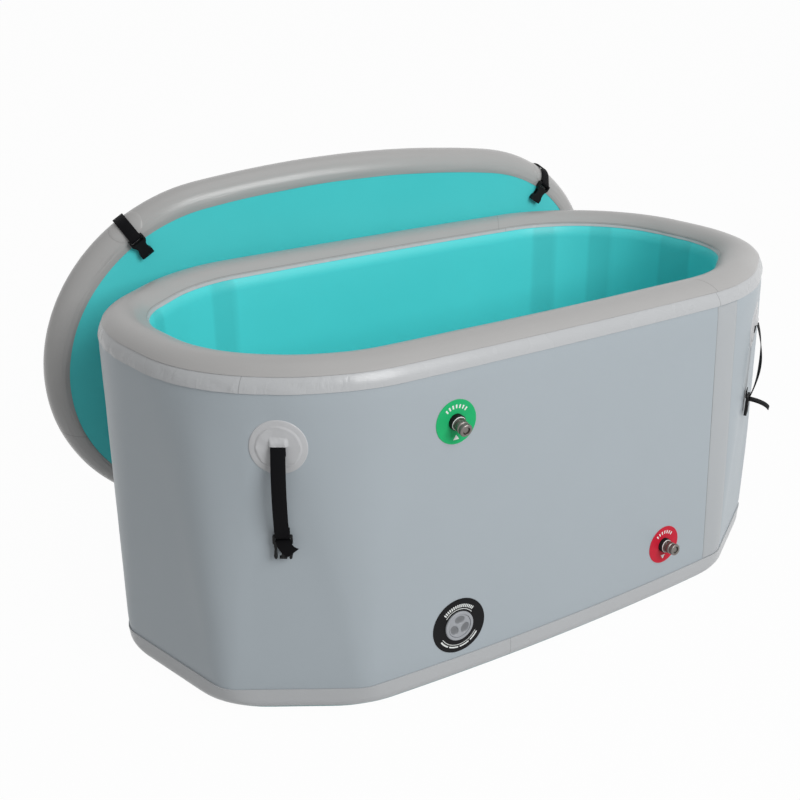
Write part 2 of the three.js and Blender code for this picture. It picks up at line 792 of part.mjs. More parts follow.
// Flat webbing along a path of [y, z] points in the strap's own plane, centred across local X
function webbing(path) {
  const line = path.map(([y, z]) => new THREE.Vector2(y, z));
  const edge = (side) => line.map((point, i) => {
    const before = line[Math.max(i - 1, 0)];
    const after = line[Math.min(i + 1, line.length - 1)];
    const into = point.clone().sub(before).normalize();
    const out = after.clone().sub(point).normalize();
    const heading = into.add(out).normalize();
    const normal = new THREE.Vector2(-heading.y, heading.x);
    return point.clone().addScaledVector(normal, (side * webbingThickness) / 2);
  });
  const outline = new THREE.Shape([...edge(1), ...edge(-1).reverse()]);
  const band = new THREE.ExtrudeGeometry(outline, { depth: webbingWidth, bevelEnabled: false });
  const upright = new THREE.Matrix4().makeBasis(
    new THREE.Vector3(0, 1, 0), new THREE.Vector3(0, 0, 1), new THREE.Vector3(1, 0, 0));
  return fromSolid(toSolid(band.translate(0, 0, -webbingWidth / 2).applyMatrix4(upright)));
}

function curved(from, first, second, to, steps) {
  const ends = [from, first, second, to].map(([y, z]) => new THREE.Vector2(y, z));
  return new THREE.CubicBezierCurve(...ends).getPoints(steps).map((p) => [p.x, p.y]);
}

// Flat moulded plate with the same outline left and right of its middle, and a webbing slot under its bar
function mouldedPlate(halfOutline, thickness) {
  const right = halfOutline.map(([x, y]) => new THREE.Vector2(x, y));
  const left = halfOutline.map(([x, y]) => new THREE.Vector2(-x, y)).reverse();
  const outline = new THREE.Shape([...right, ...left]);
  const slotTop = -buckleBarHalf;
  const slot = [[-1, 0], [-1, -1], [1, -1], [1, 0]];
  outline.holes.push(new THREE.Path(
    slot.map(([x, y]) => new THREE.Vector2(x * slotHalfWidth, slotTop + y * buckleSlot))));
  const plate = new THREE.ExtrudeGeometry(outline, { depth: thickness, bevelEnabled: false });
  return plate.translate(0, 0, -thickness / 2);
}

const thinBarCuts = (thickness) => [1, -1].map((side) => {
  const heights = [side * buckleBarHalfThickness, side * thickness].sort((a, b) => a - b);
  const rows = [-buckleBarHalf - buckleSlot, buckleBarHalf + 1];
  return box([-slotHalfWidth, slotHalfWidth], rows, heights);
});

// Male buckle: webbing bar, two sprung side prongs with bulb ends and a guide stem with a cross end
function maleBuckle() {
  const wide = buckleHalfWidth;
  const shoulder = -maleBodyEnd;
  const prongOut = wide - 2.6;
  const prongIn = prongOut - maleProngWidth;
  const tip = -maleLength;
  const plate = mouldedPlate([
    [wide - 1.5, buckleBarHalf],
    [wide, buckleBarHalf - 1.5],
    [wide, shoulder + 3],
    [wide - 2, shoulder],
    [prongOut, shoulder - 8],
    [prongOut + 0.6, tip + 12],
    [prongOut + 1.6, tip + 7],
    [prongOut + 0.6, tip + 2],
    [prongOut - maleProngWidth / 2, tip],
    [prongIn, tip + 2.5],
    [prongIn + 0.6, tip + 9],
    [prongIn, shoulder - 8],
    [prongIn - 1.6, shoulder - 2],
    [maleStemHalf + 2, shoulder - 1],
    [maleStemHalf, shoulder - 3],
    [maleStemHalf, tip + 5],
    [maleStemHalf + 3.8, tip + 4.5],
    [maleStemHalf + 3.8, tip + 1],
  ], maleThickness);
  return cut(plate, thinBarCuts(maleThickness));
}

// Female buckle: webbing bar, waisted body with side windows and a flat socket open at the mouth
function femaleBuckle() {
  const wide = buckleHalfWidth;
  const mouth = -femaleLength;
  const shoulder = -buckleBarHalf - buckleSlot;
  const plate = mouldedPlate([
    [wide - 1.5, buckleBarHalf],
    [wide, buckleBarHalf - 1.5],
    [wide, shoulder - 2],
    [wide - 2, shoulder - 5],
    [femaleWaistHalf + 1, shoulder - 9],
    [femaleWaistHalf, shoulder - 14],
    [femaleWaistHalf, mouth + 19],
    [femaleWaistHalf + 1.2, mouth + 14],
    [femaleMouthHalf, mouth + 10],
    [femaleMouthHalf, mouth + 1.5],
    [femaleMouthHalf - 1.5, mouth],
  ], femaleThickness);
  const socket = box(
    [-femaleCavityHalf, femaleCavityHalf],
    [mouth - 1, mouth + femaleCavityDepth],
    [-femaleCavityHeight / 2, femaleCavityHeight / 2]);
  return cut(plate, [...thinBarCuts(femaleThickness), socket]);
}

// Tub strap: round patch with belt loop, hanging webbing and male buckle, on a diagonal facet
const cheekOut = webbingWidth / 2 + 0.7 + patchCheek;
const cheekIn = webbingWidth / 2 + 0.7;
const patchTop = clearance + patchThickness + patchCoverThickness;
const tubBarHeight = patchTop + clearance + webbingThickness + clearance + loopBarRadius;
const loopBar = (height) => new THREE.CylinderGeometry(loopBarRadius, loopBarRadius, 2 * cheekOut - 1, 8)
  .rotateZ(Math.PI / 2)
  .translate(0, 0, height);
const disc = (radius, bottom, top) => new THREE.CylinderGeometry(radius, radius, top - bottom, roundSides + 4)
  .rotateX(Math.PI / 2)
  .translate(0, 0, (bottom + top) / 2);

function tubPatch() {
  const low = clearance + patchThickness;
  const roofLow = tubBarHeight + loopBarRadius;
  const cheeks = [[-cheekOut, -cheekIn], [cheekIn, cheekOut]].map(
    (span) => box(span, [-loopBarRadius - 1, patchLoopHeight], [low, roofLow + patchRoof]));
  const roofStart = loopBarRadius + clearance + webbingThickness + clearance + 1;
  return join([
    disc(patchRadius, clearance, low),
    disc(patchCoverRadius, low - 0.4, patchTop),
    ...cheeks,
    box([-cheekOut, cheekOut], [roofStart, patchLoopHeight], [roofLow, roofLow + patchRoof]),
    loopBar(tubBarHeight),
  ]);
}

function tubWebbing() {
  const hook = arc([0, tubBarHeight], loopHook, -90, 90, 4);
  const buckleAt = [-tubStrapHang, tubBuckleOffWall];
  const lowHook = arc(buckleAt, buckleHook, 90, 270, 4);
  const fall = tubStrapHang / 3;
  const bend = curved(
    hook[hook.length - 1],
    [-fall, tubBarHeight + tubStrapBow],
    [-2 * fall, tubBarHeight + tubStrapBow],
    lowHook[0], 6);
  return webbing([
    [-webbingTail, tubBarHeight - loopHook],
    ...hook,
    ...bend.slice(1, -1),
    ...lowHook,
    [webbingTail - tubStrapHang, tubBuckleOffWall - buckleHook],
  ]);
}

const [, , , cornerFold, sideFold] = wallFolds(wallRise(tubHeight - tubStrapBelowTop));
const diagonal = cornerFold.clone().sub(sideFold).normalize();
const diagonalHeading = new THREE.Vector2(-diagonal.y, diagonal.x);
const facetMiddle = sideFold.clone().addScaledVector(diagonal, tubStrapFromFold);
const corners = [
  ['front_left', -1, -1],
  ['front_right', 1, -1],
  ['rear_left', -1, 1],
  ['rear_right', 1, 1],
];
for (const [corner, sideX, sideY] of corners) {
  const heading = new THREE.Vector2(sideX * diagonalHeading.x, sideY * diagonalHeading.y);
  const start = new THREE.Vector2(sideX * facetMiddle.x, sideY * facetMiddle.y)
    .addScaledVector(heading, -wallThickness);
  const seat = wallSeat(start, heading, tubHeight - tubStrapBelowTop, patchRadius, 0);
  const group = seated(seat.frame, tub);
  group.name = `tub_strap_${corner}_frame`;
  addPiece(group, `tub_strap_${corner}_patch`, tubPatch(), tapeGrey);
  addPiece(group, `tub_strap_${corner}_webbing`, tubWebbing(), blackWebbing);
  const buckle = addPiece(group, `tub_strap_${corner}_buckle`, maleBuckle(), blackPlastic);
  buckle.position.set(0, -tubStrapHang, tubBuckleOffWall);
}

// Lid outline: end arcs and flatter side arcs that meet smoothly, moved inwards by the inset
function lidPlan(inset) {
  const length = lidHalfLength - inset;
  const width = lidHalfWidth - inset;
  const radius = lidEndRadius - inset;
  const centre = length - radius;
  const sideRadius = (centre * centre + width * width - radius * radius) / (2 * (width - radius));
  const sideCentre = sideRadius - width;
  const meet = Math.atan2(sideCentre, centre) / degree;
  const right = arc([centre, 0], radius, -meet, meet, lidEndSteps);
  const top = arc([0, -sideCentre], sideRadius, meet, 180 - meet, lidSideSteps);
  const half = [...right, ...top.slice(1, -1)];
  return [...half, ...half.map(([x, y]) => [-x, -y])];
}

const lidRing = ([inset, depth]) => lidPlan(inset).map(([x, y]) => new THREE.Vector3(x, y, depth));

// Lid strap frames on the outer face: X across the strap, Y outwards over the rail, Z away from the face
const lidFaceDepth = lidThickness / 2;
const lidEndCentre = lidHalfLength - lidEndRadius;
function lidStrapFrame(sideX, sideY) {
  const outward = new THREE.Vector3(
    sideX * Math.cos(lidStrapAngle * degree), -sideY * Math.sin(lidStrapAngle * degree), 0);
  const away = new THREE.Vector3(0, 0, -1);
  const across = new THREE.Vector3().crossVectors(outward, away);
  const place = outward.clone().multiplyScalar(lidEndRadius - lidLoopInset);
  place.x += sideX * lidEndCentre;
  place.z = -lidFaceDepth;
  return new THREE.Matrix4().makeBasis(across, outward, away).setPosition(place);
}
const lidBuckleAt = [lidLoopInset - lidBuckleInset, -lidThickness - lidBuckleOffFace];

// Lid pose: foot on the floor, inner face against the back rim
const lidRailRadius = lidThickness / 2 + tapeProud;
const leanAngle = lidLean * degree;
const yawTurn = new THREE.Matrix4().makeRotationZ(lidYaw * degree);
const lidAlong = new THREE.Vector3(1, 0, 0).applyMatrix4(yawTurn);
const lidUp = new THREE.Vector3(0, -Math.sin(leanAngle), Math.cos(leanAngle)).applyMatrix4(yawTurn);
const lidFacing = new THREE.Vector3().crossVectors(lidAlong, lidUp);
const lidFoot = (lidHalfWidth - lidThickness / 2) * Math.cos(leanAngle) + lidRailRadius + clearance;
const lidCentre = new THREE.Vector3(lidOffsetX, 0, lidFoot);
const rimNearest = Math.min(...rimArc(rimTapeRadius, rimOuterSeamAngle, 90)
  .flatMap(wallRing)
  .map((p) => p.sub(lidCentre).dot(lidFacing)));
lidCentre.y += (rimNearest - lidThickness / 2 - clearance) / lidFacing.y;

// On a tall tub the buckles on the lid's inner face come below the rim and hold the lid further back
const lidFrame = new THREE.Matrix4().makeBasis(lidAlong, lidUp, lidFacing).setPosition(lidCentre);
const buckleCorners = [-1, 1].flatMap((sideX) => [-1, 1].flatMap(
  (edge) => [buckleBarHalf, -femaleLength].map((end) => new THREE.Vector3(
    edge * buckleHalfWidth, lidBuckleAt[0] + end, lidBuckleAt[1] - femaleThickness / 2)
    .applyMatrix4(lidStrapFrame(sideX, -1))
    .applyMatrix4(lidFrame))));
const backHeading = new THREE.Vector2(0, 1);
const heldBack = buckleCorners.filter((corner) => corner.z < tubHeight).map(
  ({ x, y, z }) => wallReach(new THREE.Vector2(x, 0), backHeading, -tapeProud, z) + tapeProud - y);
lidFrame.premultiply(new THREE.Matrix4().makeTranslation(0, Math.max(0, ...heldBack), 0));

const lid = seated(lidFrame, tub);
lid.name = 'lid_frame';

// Lid valve on the outer face, turned to look outwards
const lidValveFrame = new THREE.Matrix4().makeRotationY(Math.PI)
  .setPosition(lidValveX, 0, -lidThickness / 2);
const lidPocket = valvePocket.clone().applyMatrix4(lidValveFrame);

const lidCoreRadius = lidThickness / 2 - coreInset;
const lidSection = (radius, from, to) =>
  steppedArc(radius, from, to).map(([x, z]) => [lidThickness / 2 - x, z]);

addPiece(lid, 'lid_air_core', cut(loft(
  lidSection(lidCoreRadius, -90, 90).map(lidRing), false), [lidPocket]), airCore);

const railEdge = lidRailReach - clearance;
addPiece(lid, 'lid_rail_tape', loft([
  [railEdge, -lidRailRadius],
  ...lidSection(lidRailRadius, -90, 90),
  [railEdge, lidRailRadius],
  [railEdge, lidFaceDepth - skinThickness],
  ...lidSection(lidFaceDepth - skinThickness, 90, -90),
  [railEdge, skinThickness - lidFaceDepth],
].map(lidRing), true), tapeGrey);

const lidSkin = (side) => loft(
  [lidFaceDepth - skinThickness, lidFaceDepth].map((depth) => lidRing([lidRailReach, side * depth])), false);
addPiece(lid, 'lid_inner_skin', lidSkin(1), teal);
addPiece(lid, 'lid_outer_skin', cut(lidSkin(-1), [lidPocket]), wallGrey);

const lidValve = seated(lidValveFrame, lid);
lidValve.name = 'lid_valve_frame';
addValve(lidValve, 'lid_valve');

// Lid strap: patch on the outer face, webbing round the rail to the inner face, female buckle
const lidPatchTop = clearance + patchThickness;
const lidBarHeight = lidPatchTop + clearance + webbingThickness + clearance + loopBarRadius;

function lidPatch() {
  const cheeks = [[-cheekOut, -cheekIn], [cheekIn, cheekOut]].map(
    (span) => box(span, [-loopBarRadius - 4, lidPatchLip], [lidPatchTop - 0.4, lidBarHeight + loopBarRadius + 1]));
  return join([
    disc(lidPatchRadius, clearance, lidPatchTop).translate(0, -lidPatchBack, 0),
    box([-cheekOut, cheekOut], [-lidPatchBack, lidPatchLip], [clearance, lidPatchTop]),
    ...cheeks,
    loopBar(lidBarHeight),
  ]);
}

function lidWebbing() {
  const railMiddle = [lidLoopInset - lidThickness / 2, -lidThickness / 2];
  const hook = arc([0, lidBarHeight], loopHook, 270, 90, 4);
  const wrap = arc(railMiddle, lidRailRadius + lidStrapLift, 80, -48, 7);
  const lastHook = arc(lidBuckleAt, buckleHook, 315, 90, 5);
  return webbing([
    [webbingTail - 3, lidBarHeight - loopHook],
    ...hook,
    [loopHook + 1, lidBarHeight + loopHook - 0.3],
    ...wrap,
    ...lastHook,
    [lidBuckleAt[0] + buckleHook + 2, lidBuckleAt[1] + buckleHook + 0.5],
  ]);
}

for (const [corner, sideX, sideY] of corners) {
  const group = seated(lidStrapFrame(sideX, sideY), lid);
  const name = corner.replace('front', 'upper').replace('rear', 'lower');
  group.name = `lid_strap_${name}_frame`;
  addPiece(group, `lid_strap_${name}_patch`, lidPatch(), tapeGrey);
  addPiece(group, `lid_strap_${name}_webbing`, lidWebbing(), blackWebbing);
  const buckle = addPiece(group, `lid_strap_${name}_buckle`, femaleBuckle(), blackPlastic);
  buckle.position.set(0, ...lidBuckleAt);
}

export default tub;
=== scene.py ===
import json
import math

import bmesh
import bpy
from mathutils import Matrix, Vector, noise
from mathutils.bvhtree import BVHTree


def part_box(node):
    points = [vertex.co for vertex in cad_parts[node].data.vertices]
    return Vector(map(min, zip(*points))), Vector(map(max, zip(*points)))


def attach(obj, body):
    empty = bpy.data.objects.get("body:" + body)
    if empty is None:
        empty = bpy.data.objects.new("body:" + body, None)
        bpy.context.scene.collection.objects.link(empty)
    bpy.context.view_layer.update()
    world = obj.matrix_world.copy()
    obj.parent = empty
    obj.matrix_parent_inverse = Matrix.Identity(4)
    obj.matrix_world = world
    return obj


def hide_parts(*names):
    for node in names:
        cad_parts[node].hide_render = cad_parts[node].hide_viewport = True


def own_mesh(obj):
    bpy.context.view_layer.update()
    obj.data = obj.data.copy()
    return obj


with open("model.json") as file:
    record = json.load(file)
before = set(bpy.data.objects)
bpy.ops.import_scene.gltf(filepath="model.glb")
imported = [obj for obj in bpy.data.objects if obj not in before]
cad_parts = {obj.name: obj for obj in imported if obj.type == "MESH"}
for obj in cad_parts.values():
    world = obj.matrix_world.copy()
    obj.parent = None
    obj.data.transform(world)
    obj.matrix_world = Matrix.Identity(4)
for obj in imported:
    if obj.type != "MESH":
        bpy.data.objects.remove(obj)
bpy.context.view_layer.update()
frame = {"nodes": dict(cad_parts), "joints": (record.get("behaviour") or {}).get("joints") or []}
nodes = frame["nodes"]
joints = {joint["name"]: joint for joint in frame["joints"]}

# Studio: a camera at the photograph's place, a pale floor that keeps a soft shadow,
# one large lamp at the front right, one overhead, and a white surround that metal can mirror.
scene = bpy.context.scene
scene.view_settings.view_transform = "Standard"
image_side = 800
camera_place = Vector((-1.3260, -1.8833, 1.3294))
camera_azimuth = math.radians(-32.93)
camera_elevation = math.radians(22.905)
camera_roll = math.radians(-0.316)
camera_focal_pixels = 1178.0
camera_axis_pixel = (412.73, 412.48)

view_back = Vector((
    math.sin(camera_azimuth) * math.cos(camera_elevation),
    -math.cos(camera_azimuth) * math.cos(camera_elevation),
    math.sin(camera_elevation),
))
view_right = Vector((0, 0, 1)).cross(view_back).normalized()
view_up = view_back.cross(view_right)
roll_turn = Matrix.Rotation(camera_roll, 3, view_back)
camera_data = bpy.data.cameras.new("photo_camera")
camera_data.sensor_width = 36
camera_data.lens = camera_data.sensor_width * camera_focal_pixels / image_side
camera_data.shift_x = (image_side / 2 - camera_axis_pixel[0]) / image_side
camera_data.shift_y = (camera_axis_pixel[1] - image_side / 2) / image_side
camera = bpy.data.objects.new("photo_camera", camera_data)
camera_turn = Matrix((roll_turn @ view_right, roll_turn @ view_up, view_back)).transposed()
camera.matrix_world = Matrix.Translation(camera_place) @ camera_turn.to_4x4()
scene.collection.objects.link(camera)
scene.camera = camera


def add_lamp(name, place, target, size, power):
    data = bpy.data.lights.new(name, "AREA")
    data.size = size
    data.energy = power
    lamp = bpy.data.objects.new(name, data)
    lamp.location = place
    lamp.rotation_euler = (Vector(target) - Vector(place)).to_track_quat("-Z", "Y").to_euler()
    scene.collection.objects.link(lamp)


add_lamp("key_lamp", (0.9, -5.7, 4.0), (0, 0, 0.4), 3.4, 288)
add_lamp("top_lamp", (0.4, 0.2, 4.2), (0, 0, 0.5), 2.6, 10)


def new_material(name):
    """A material with a Principled shader; returns its node tree, the shader and the material."""
    material = bpy.data.materials.new(name)
    material.use_nodes = True
    tree = material.node_tree
    return tree, tree.nodes["Principled BSDF"], material


def maths(tree, operation, *values):
    """A math node whose inputs are numbers or other sockets; returns its output socket."""
    node = tree.nodes.new("ShaderNodeMath")
    node.operation = operation
    for socket, value in zip(node.inputs, values):
        if isinstance(value, (int, float)):
            socket.default_value = value
        else:
            tree.links.new(value, socket)
    return node.outputs[0]


def seen_directly(tree):
    """A value of 1 for camera, mirror and glass rays, and 0 for light that falls on surfaces."""
    path = tree.nodes.new("ShaderNodeLightPath")
    mirror = maths(tree, "MAXIMUM", path.outputs["Is Glossy Ray"], path.outputs["Is Transmission Ray"])
    return maths(tree, "MAXIMUM", path.outputs["Is Camera Ray"], mirror)


world = bpy.data.worlds.new("white_studio")
scene.world = world
world.use_nodes = True
sky = world.node_tree
surround_light = 0.385
sky_strength = maths(sky, "MULTIPLY_ADD", seen_directly(sky), 1 - surround_light, surround_light)
sky.nodes["Background"].inputs["Color"].default_value = (1, 1, 1, 1)
sky.links.new(sky_strength, sky.nodes["Background"].inputs["Strength"])

floor_reach = 30
floor_shadow = 0.028
floor_corners = [(-1, -1), (1, -1), (1, 1), (-1, 1)]
floor_mesh = bpy.data.meshes.new("studio_floor")
floor_mesh.from_pydata([(x * floor_reach, y * floor_reach, 0) for x, y in floor_corners], [], [(0, 1, 2, 3)])
studio_floor = bpy.data.objects.new("studio_floor", floor_mesh)
scene.collection.objects.link(studio_floor)
tree, shader, floor_paint = new_material("floor_paint")
shader.inputs["Base Color"].default_value = (0.6, 0.6, 0.6, 1)
shader.inputs["Roughness"].default_value = 0.9
shader.inputs["Specular IOR Level"].default_value = 0
floor_glow = tree.nodes.new("ShaderNodeEmission")
floor_mix = tree.nodes.new("ShaderNodeMixShader")
tree.links.new(maths(tree, "MULTIPLY", seen_directly(tree), 1 - floor_shadow), floor_mix.inputs["Fac"])
tree.links.new(shader.outputs[0], floor_mix.inputs[1])
tree.links.new(floor_glow.outputs[0], floor_mix.inputs[2])
tree.links.new(floor_mix.outputs[0], tree.nodes["Material Output"].inputs["Surface"])
floor_mesh.materials.append(floor_paint)

# Base sheet: the teal coated cloth under the whole tub, drawn up round the foot of the wall
# and glued there under the base tape. Only its turned-up edge shows, painted a dull darker teal as painted shade at the
# foot of the tub.
half_length = 0.732
half_width = 0.364
end_taper = 0.010
end_bulge_rim = 0.036
end_bulge_base = 0.070
end_fold_shift = 0.055
corner_fold_rim = 0.198
corner_fold_base = 0.227
diagonal_run_rim = 0.206
diagonal_run_base = 0.218
side_bow_rim = 0.0085
side_bow_base = 0.0168
fold_radius_rim = 0.349
fold_radius_wall = 0.058
fold_radius_floor = 0.200
fold_radius_inside = 0.246
least_fold_radius = 0.012
wall_thickness = 0.100
rim_radius = wall_thickness / 2
rim_centre = 0.618
base_seam = 0.051
base_round = 0.028
base_tape_end = 30
outline_points = 360
fold_steps = 10
side_steps = 24


def between(low, high, share):
    return low + (high - low) * min(max(share, 0), 1)


def smooth_step(low, high, value):
    share = min(max((value - low) / (high - low), 0), 1)
    return share * share * (3 - 2 * share)


def evenly_spaced(points, count):
    """The closed line through the points, as that many points at equal steps."""
    lengths = [(b - a).length for a, b in zip(points, points[1:] + points[:1])]
    total = sum(lengths)
    spaced = []
    index = 0
    passed = 0
    for step in range(count):
        wanted = total * step / count
        while passed + lengths[index] < wanted:
            passed += lengths[index]
            index += 1
        share = (wanted - passed) / lengths[index]
        spaced.append(points[index].lerp(points[(index + 1) % len(points)], share))
    return spaced


def wall_folds(rise):
    """The ten folds of the wall as sharp corners, from the front right; the end folds sit off the centre line."""
    end_x = half_length - between(0, end_taper, rise)
    corner_x = end_x - between(end_bulge_base, end_bulge_rim, rise)
    corner_y = between(corner_fold_base, corner_fold_rim, rise)
    side_x = corner_x - between(diagonal_run_base, diagonal_run_rim, rise)
    right = [
        Vector((side_x, -half_width)),
        Vector((corner_x, -corner_y)),
        Vector((end_x, -end_fold_shift)),
        Vector((corner_x, corner_y)),
        Vector((side_x, half_width)),
    ]
    return right + [-corner for corner in right]


def wall_plan(inset, height):
    """Plan of the wall at a height: rounded folds round the ends and bowed long sides, moved inwards."""
    rise = (height - base_seam) / (rim_centre - base_seam)
    bow = between(side_bow_base, side_bow_rim, rise)
    fold = between(fold_radius_wall, fold_radius_rim, rise)
    if inset < base_round:
        fold = between(fold, fold_radius_floor, (base_seam - height) / base_seam)
    fold = max(fold + (fold_radius_inside - fold) * inset / wall_thickness, least_fold_radius)
    sharp = wall_folds(rise)
    edges = [(after - corner).normalized() for corner, after in zip(sharp, sharp[1:] + sharp[:1])]
    outwards = [Vector((edge.y, -edge.x)) for edge in edges]
    corners = []
    for corner, before, after in zip(sharp, outwards[-1:] + outwards, outwards):
        corners.append(corner - (before + after) * (inset / (1 + before.dot(after))))
    line = []
    for before, corner, after in zip(corners[-1:] + corners, corners, corners[1:] + corners[:1]):
        into = (corner - before).normalized()
        out = (after - corner).normalized()
        turn = into.angle(out)
        room = 0.48 * min((corner - before).length, (after - corner).length)
        tangent = min(fold * math.tan(turn / 2), room)
        radius = tangent / math.tan(turn / 2)
        outward = Vector((into.y, -into.x))
        centre = corner - into * tangent - outward * radius
        for step in range(fold_steps + 1):
            line.append(centre + Matrix.Rotation(turn * step / fold_steps, 2) @ (outward * radius))
        if abs(out.y) < 0.01:
            side_end = after - out * tangent
            start = line[-1]
            line.extend(start.lerp(side_end, step / side_steps) for step in range(1, side_steps))
    for point in line:
        share = min(abs(point.x) / corners[0].x, 1)
        point.y += math.copysign(bow * (1 - share * share), point.y)
    return line


def wall_outline(inset, height):
    """The wall's plan as a ring of even points; the wall runs straight up from the base seam to the rim."""
    rise = (height - base_seam) / (rim_centre - base_seam)
    if 0 < rise < 1:
        ends = zip(wall_plan(inset, base_seam), wall_plan(inset, rim_centre))
        line = [low.lerp(high, rise) for low, high in ends]
    else:
        line = wall_plan(inset, height)
    front = min((i for i in range(len(line)) if line[i].y < 0), key=lambda i: abs(line[i].x))
    spaced = evenly_spaced(line[front:] + line[:front], outline_points)
    return [Vector((point.x, point.y, height)) for point in spaced]


def rim_place(radius, angle):
    """A place on the rounded rim as inset and height; angle 0 points outwards and 90 degrees up."""
    return rim_radius - radius * math.cos(angle), rim_centre + radius * math.sin(angle)


def base_place(radius, angle):
    """A place on the rounded foot of the wall; angle 0 points outwards and 90 degrees down."""
    return base_round - radius * math.cos(angle), base_round - radius * math.sin(angle)


def lofted(name, rings, joined=False, capped=()):
    """Mesh through closed rings of points. UVs are metres round the ring and metres across the section."""
    count = len(rings[0])
    mesh = bpy.data.meshes.new(name)
    points = [point for ring in rings for point in ring]
    faces = []
    for band in range(len(rings) if joined else len(rings) - 1):
        low = band * count
        high = (band + 1) % len(rings) * count
        faces += [(low + i, low + (i + 1) % count, high + (i + 1) % count, high + i) for i in range(count)]
    for ring in capped:
        start = ring % len(rings) * count
        points.append(sum((points[start + i] for i in range(count)), Vector()) / count)
        faces += [(start + i, start + (i + 1) % count, len(points) - 1) for i in range(count)]
    mesh.from_pydata(points, [], faces)
    round_step = sum((b - a).length for a, b in zip(rings[0], rings[0][1:])) / (count - 1)
    across = [0]
    for low, high in zip(rings, rings[1:] + rings[:1]):
        across.append(across[-1] + (high[0] - low[0]).length)
    uv = mesh.uv_layers.new(name="cloth")
    for face in mesh.polygons:
        band, first = divmod(face.index, count)
        for corner, loop in enumerate(face.loop_indices):
            side = first + (1 if corner in (1, 2) else 0)
            uv.data[loop].uv = (side * round_step, across[min(band + (corner > 1), len(across) - 1)])
    work = bmesh.new()
    work.from_mesh(mesh)
    bmesh.ops.recalc_face_normals(work, faces=work.faces)
    work.to_mesh(mesh)
    work.free()
    return mesh


def add_piece(name, mesh, body, material, slot, stands_for=(), sharp=35):
    """A smooth-shaded object that rides on a body of the frame and stands for CAD nodes."""
    mesh.polygons.foreach_set("use_smooth", [True] * len(mesh.polygons))
    mesh.set_sharp_from_angle(angle=math.radians(sharp))
    mesh.materials.clear()
    mesh.materials.append(material)
    piece = bpy.data.objects.new(name, mesh)
    scene.collection.objects.link(piece)
    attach(piece, body)
    if stands_for:
        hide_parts(*stands_for)
    return piece


def paint(red, green, blue):
    """A colour written as screen values from 0 to 255."""
    linear = []
    for value in (red, green, blue):
        value /= 255
        linear.append(value / 12.92 if value <= 0.04045 else ((value + 0.055) / 1.055) ** 2.4)
    return (*linear, 1)


def new_group(name, inputs, outputs):
    """An empty shader node group; inputs and outputs are names with a socket kind and a default."""
    group = bpy.data.node_groups.new(name, "ShaderNodeTree")
    for way, sockets in (("INPUT", inputs), ("OUTPUT", outputs)):
        for socket_name, (kind, default) in sockets.items():
            socket = group.interface.new_socket(name=socket_name, in_out=way, socket_type="NodeSocket" + kind)
            if default is not None:
                socket.default_value = default
    return group, group.nodes.new("NodeGroupInput").outputs, group.nodes.new("NodeGroupOutput").inputs


def scaled_colour(tree, colour, factor):
    """The colour multiplied by a varying factor."""
    node = tree.nodes.new("ShaderNodeVectorMath")
    node.operation = "SCALE"
    tree.links.new(colour, node.inputs[0])
    tree.links.new(factor, node.inputs["Scale"])
    return node.outputs[0]


def noise_value(tree, place, scale, detail=3):
    """Soft noise between about -0.5 and 0.5."""
    node = tree.nodes.new("ShaderNodeTexNoise")
    node.inputs["Scale"].default_value = scale
    node.inputs["Detail"].default_value = detail
    tree.links.new(place, node.inputs["Vector"])
    return maths(tree, "SUBTRACT", node.outputs["Fac"], 0.5)


# Coated cloth effect: the plain weave of the base cloth shows faintly through its plastic skin,
# with soft unevenness and a faint change of tone.
coated_cloth, enter, leave = new_group("coated_cloth", {
    "Color": ("Color", (0.5, 0.5, 0.5, 1)),
    "Thread": ("Float", 0.0016),
    "Weave": ("Float", 0.3),
    "Tone": ("Float", 0.04),
    "Gloss": ("Float", 0.45),
}, {"Color": ("Color", None), "Roughness": ("Float", None), "Height": ("Float", None)})
place = coated_cloth.nodes.new("ShaderNodeTexCoord")
split = coated_cloth.nodes.new("ShaderNodeSeparateXYZ")
coated_cloth.links.new(place.outputs["UV"], split.inputs[0])
pitch = maths(coated_cloth, "DIVIDE", math.pi, enter["Thread"])
threads = [
    maths(coated_cloth, "ABSOLUTE", maths(
        coated_cloth, "SINE", maths(coated_cloth, "MULTIPLY", split.outputs[way], pitch)))
    for way in ("X", "Y")
]
weave = maths(coated_cloth, "MULTIPLY", maths(coated_cloth, "MULTIPLY", *threads), enter["Weave"])
uneven = noise_value(coated_cloth, place.outputs["Object"], 9)
shift = maths(coated_cloth, "MULTIPLY_ADD", uneven, enter["Tone"], 1)
coated_cloth.links.new(maths(coated_cloth, "MULTIPLY_ADD", uneven, 1.5, weave), leave["Height"])
coated_cloth.links.new(scaled_colour(coated_cloth, enter["Color"], shift), leave["Color"])
coated_cloth.links.new(maths(coated_cloth, "MULTIPLY_ADD", uneven, 0.16, enter["Gloss"]), leave["Roughness"])


def cloth_material(name, colour, thread=0.0016, weave=0.3, tone=0.04, gloss=0.45, bump=0.25):
    """Coated cloth in one colour; returns its node tree, the socket that carries the colour, and the material."""
    tree, shader, material = new_material(name)
    cloth = tree.nodes.new("ShaderNodeGroup")
    cloth.node_tree = coated_cloth
    cloth.inputs["Color"].default_value = colour
    cloth.inputs["Thread"].default_value = thread
    cloth.inputs["Weave"].default_value = weave
    cloth.inputs["Tone"].default_value = tone
    cloth.inputs["Gloss"].default_value = gloss
    relief = tree.nodes.new("ShaderNodeBump")
    relief.inputs["Strength"].default_value = bump
    relief.inputs["Distance"].default_value = 0.0006
    tree.links.new(cloth.outputs["Height"], relief.inputs["Height"])
    tree.links.new(cloth.outputs["Color"], shader.inputs["Base Color"])
    tree.links.new(cloth.outputs["Roughness"], shader.inputs["Roughness"])
    tree.links.new(relief.outputs["Normal"], shader.inputs["Normal"])
    shader.inputs["Specular IOR Level"].default_value = 0.4
    return tree, cloth.outputs["Color"], material


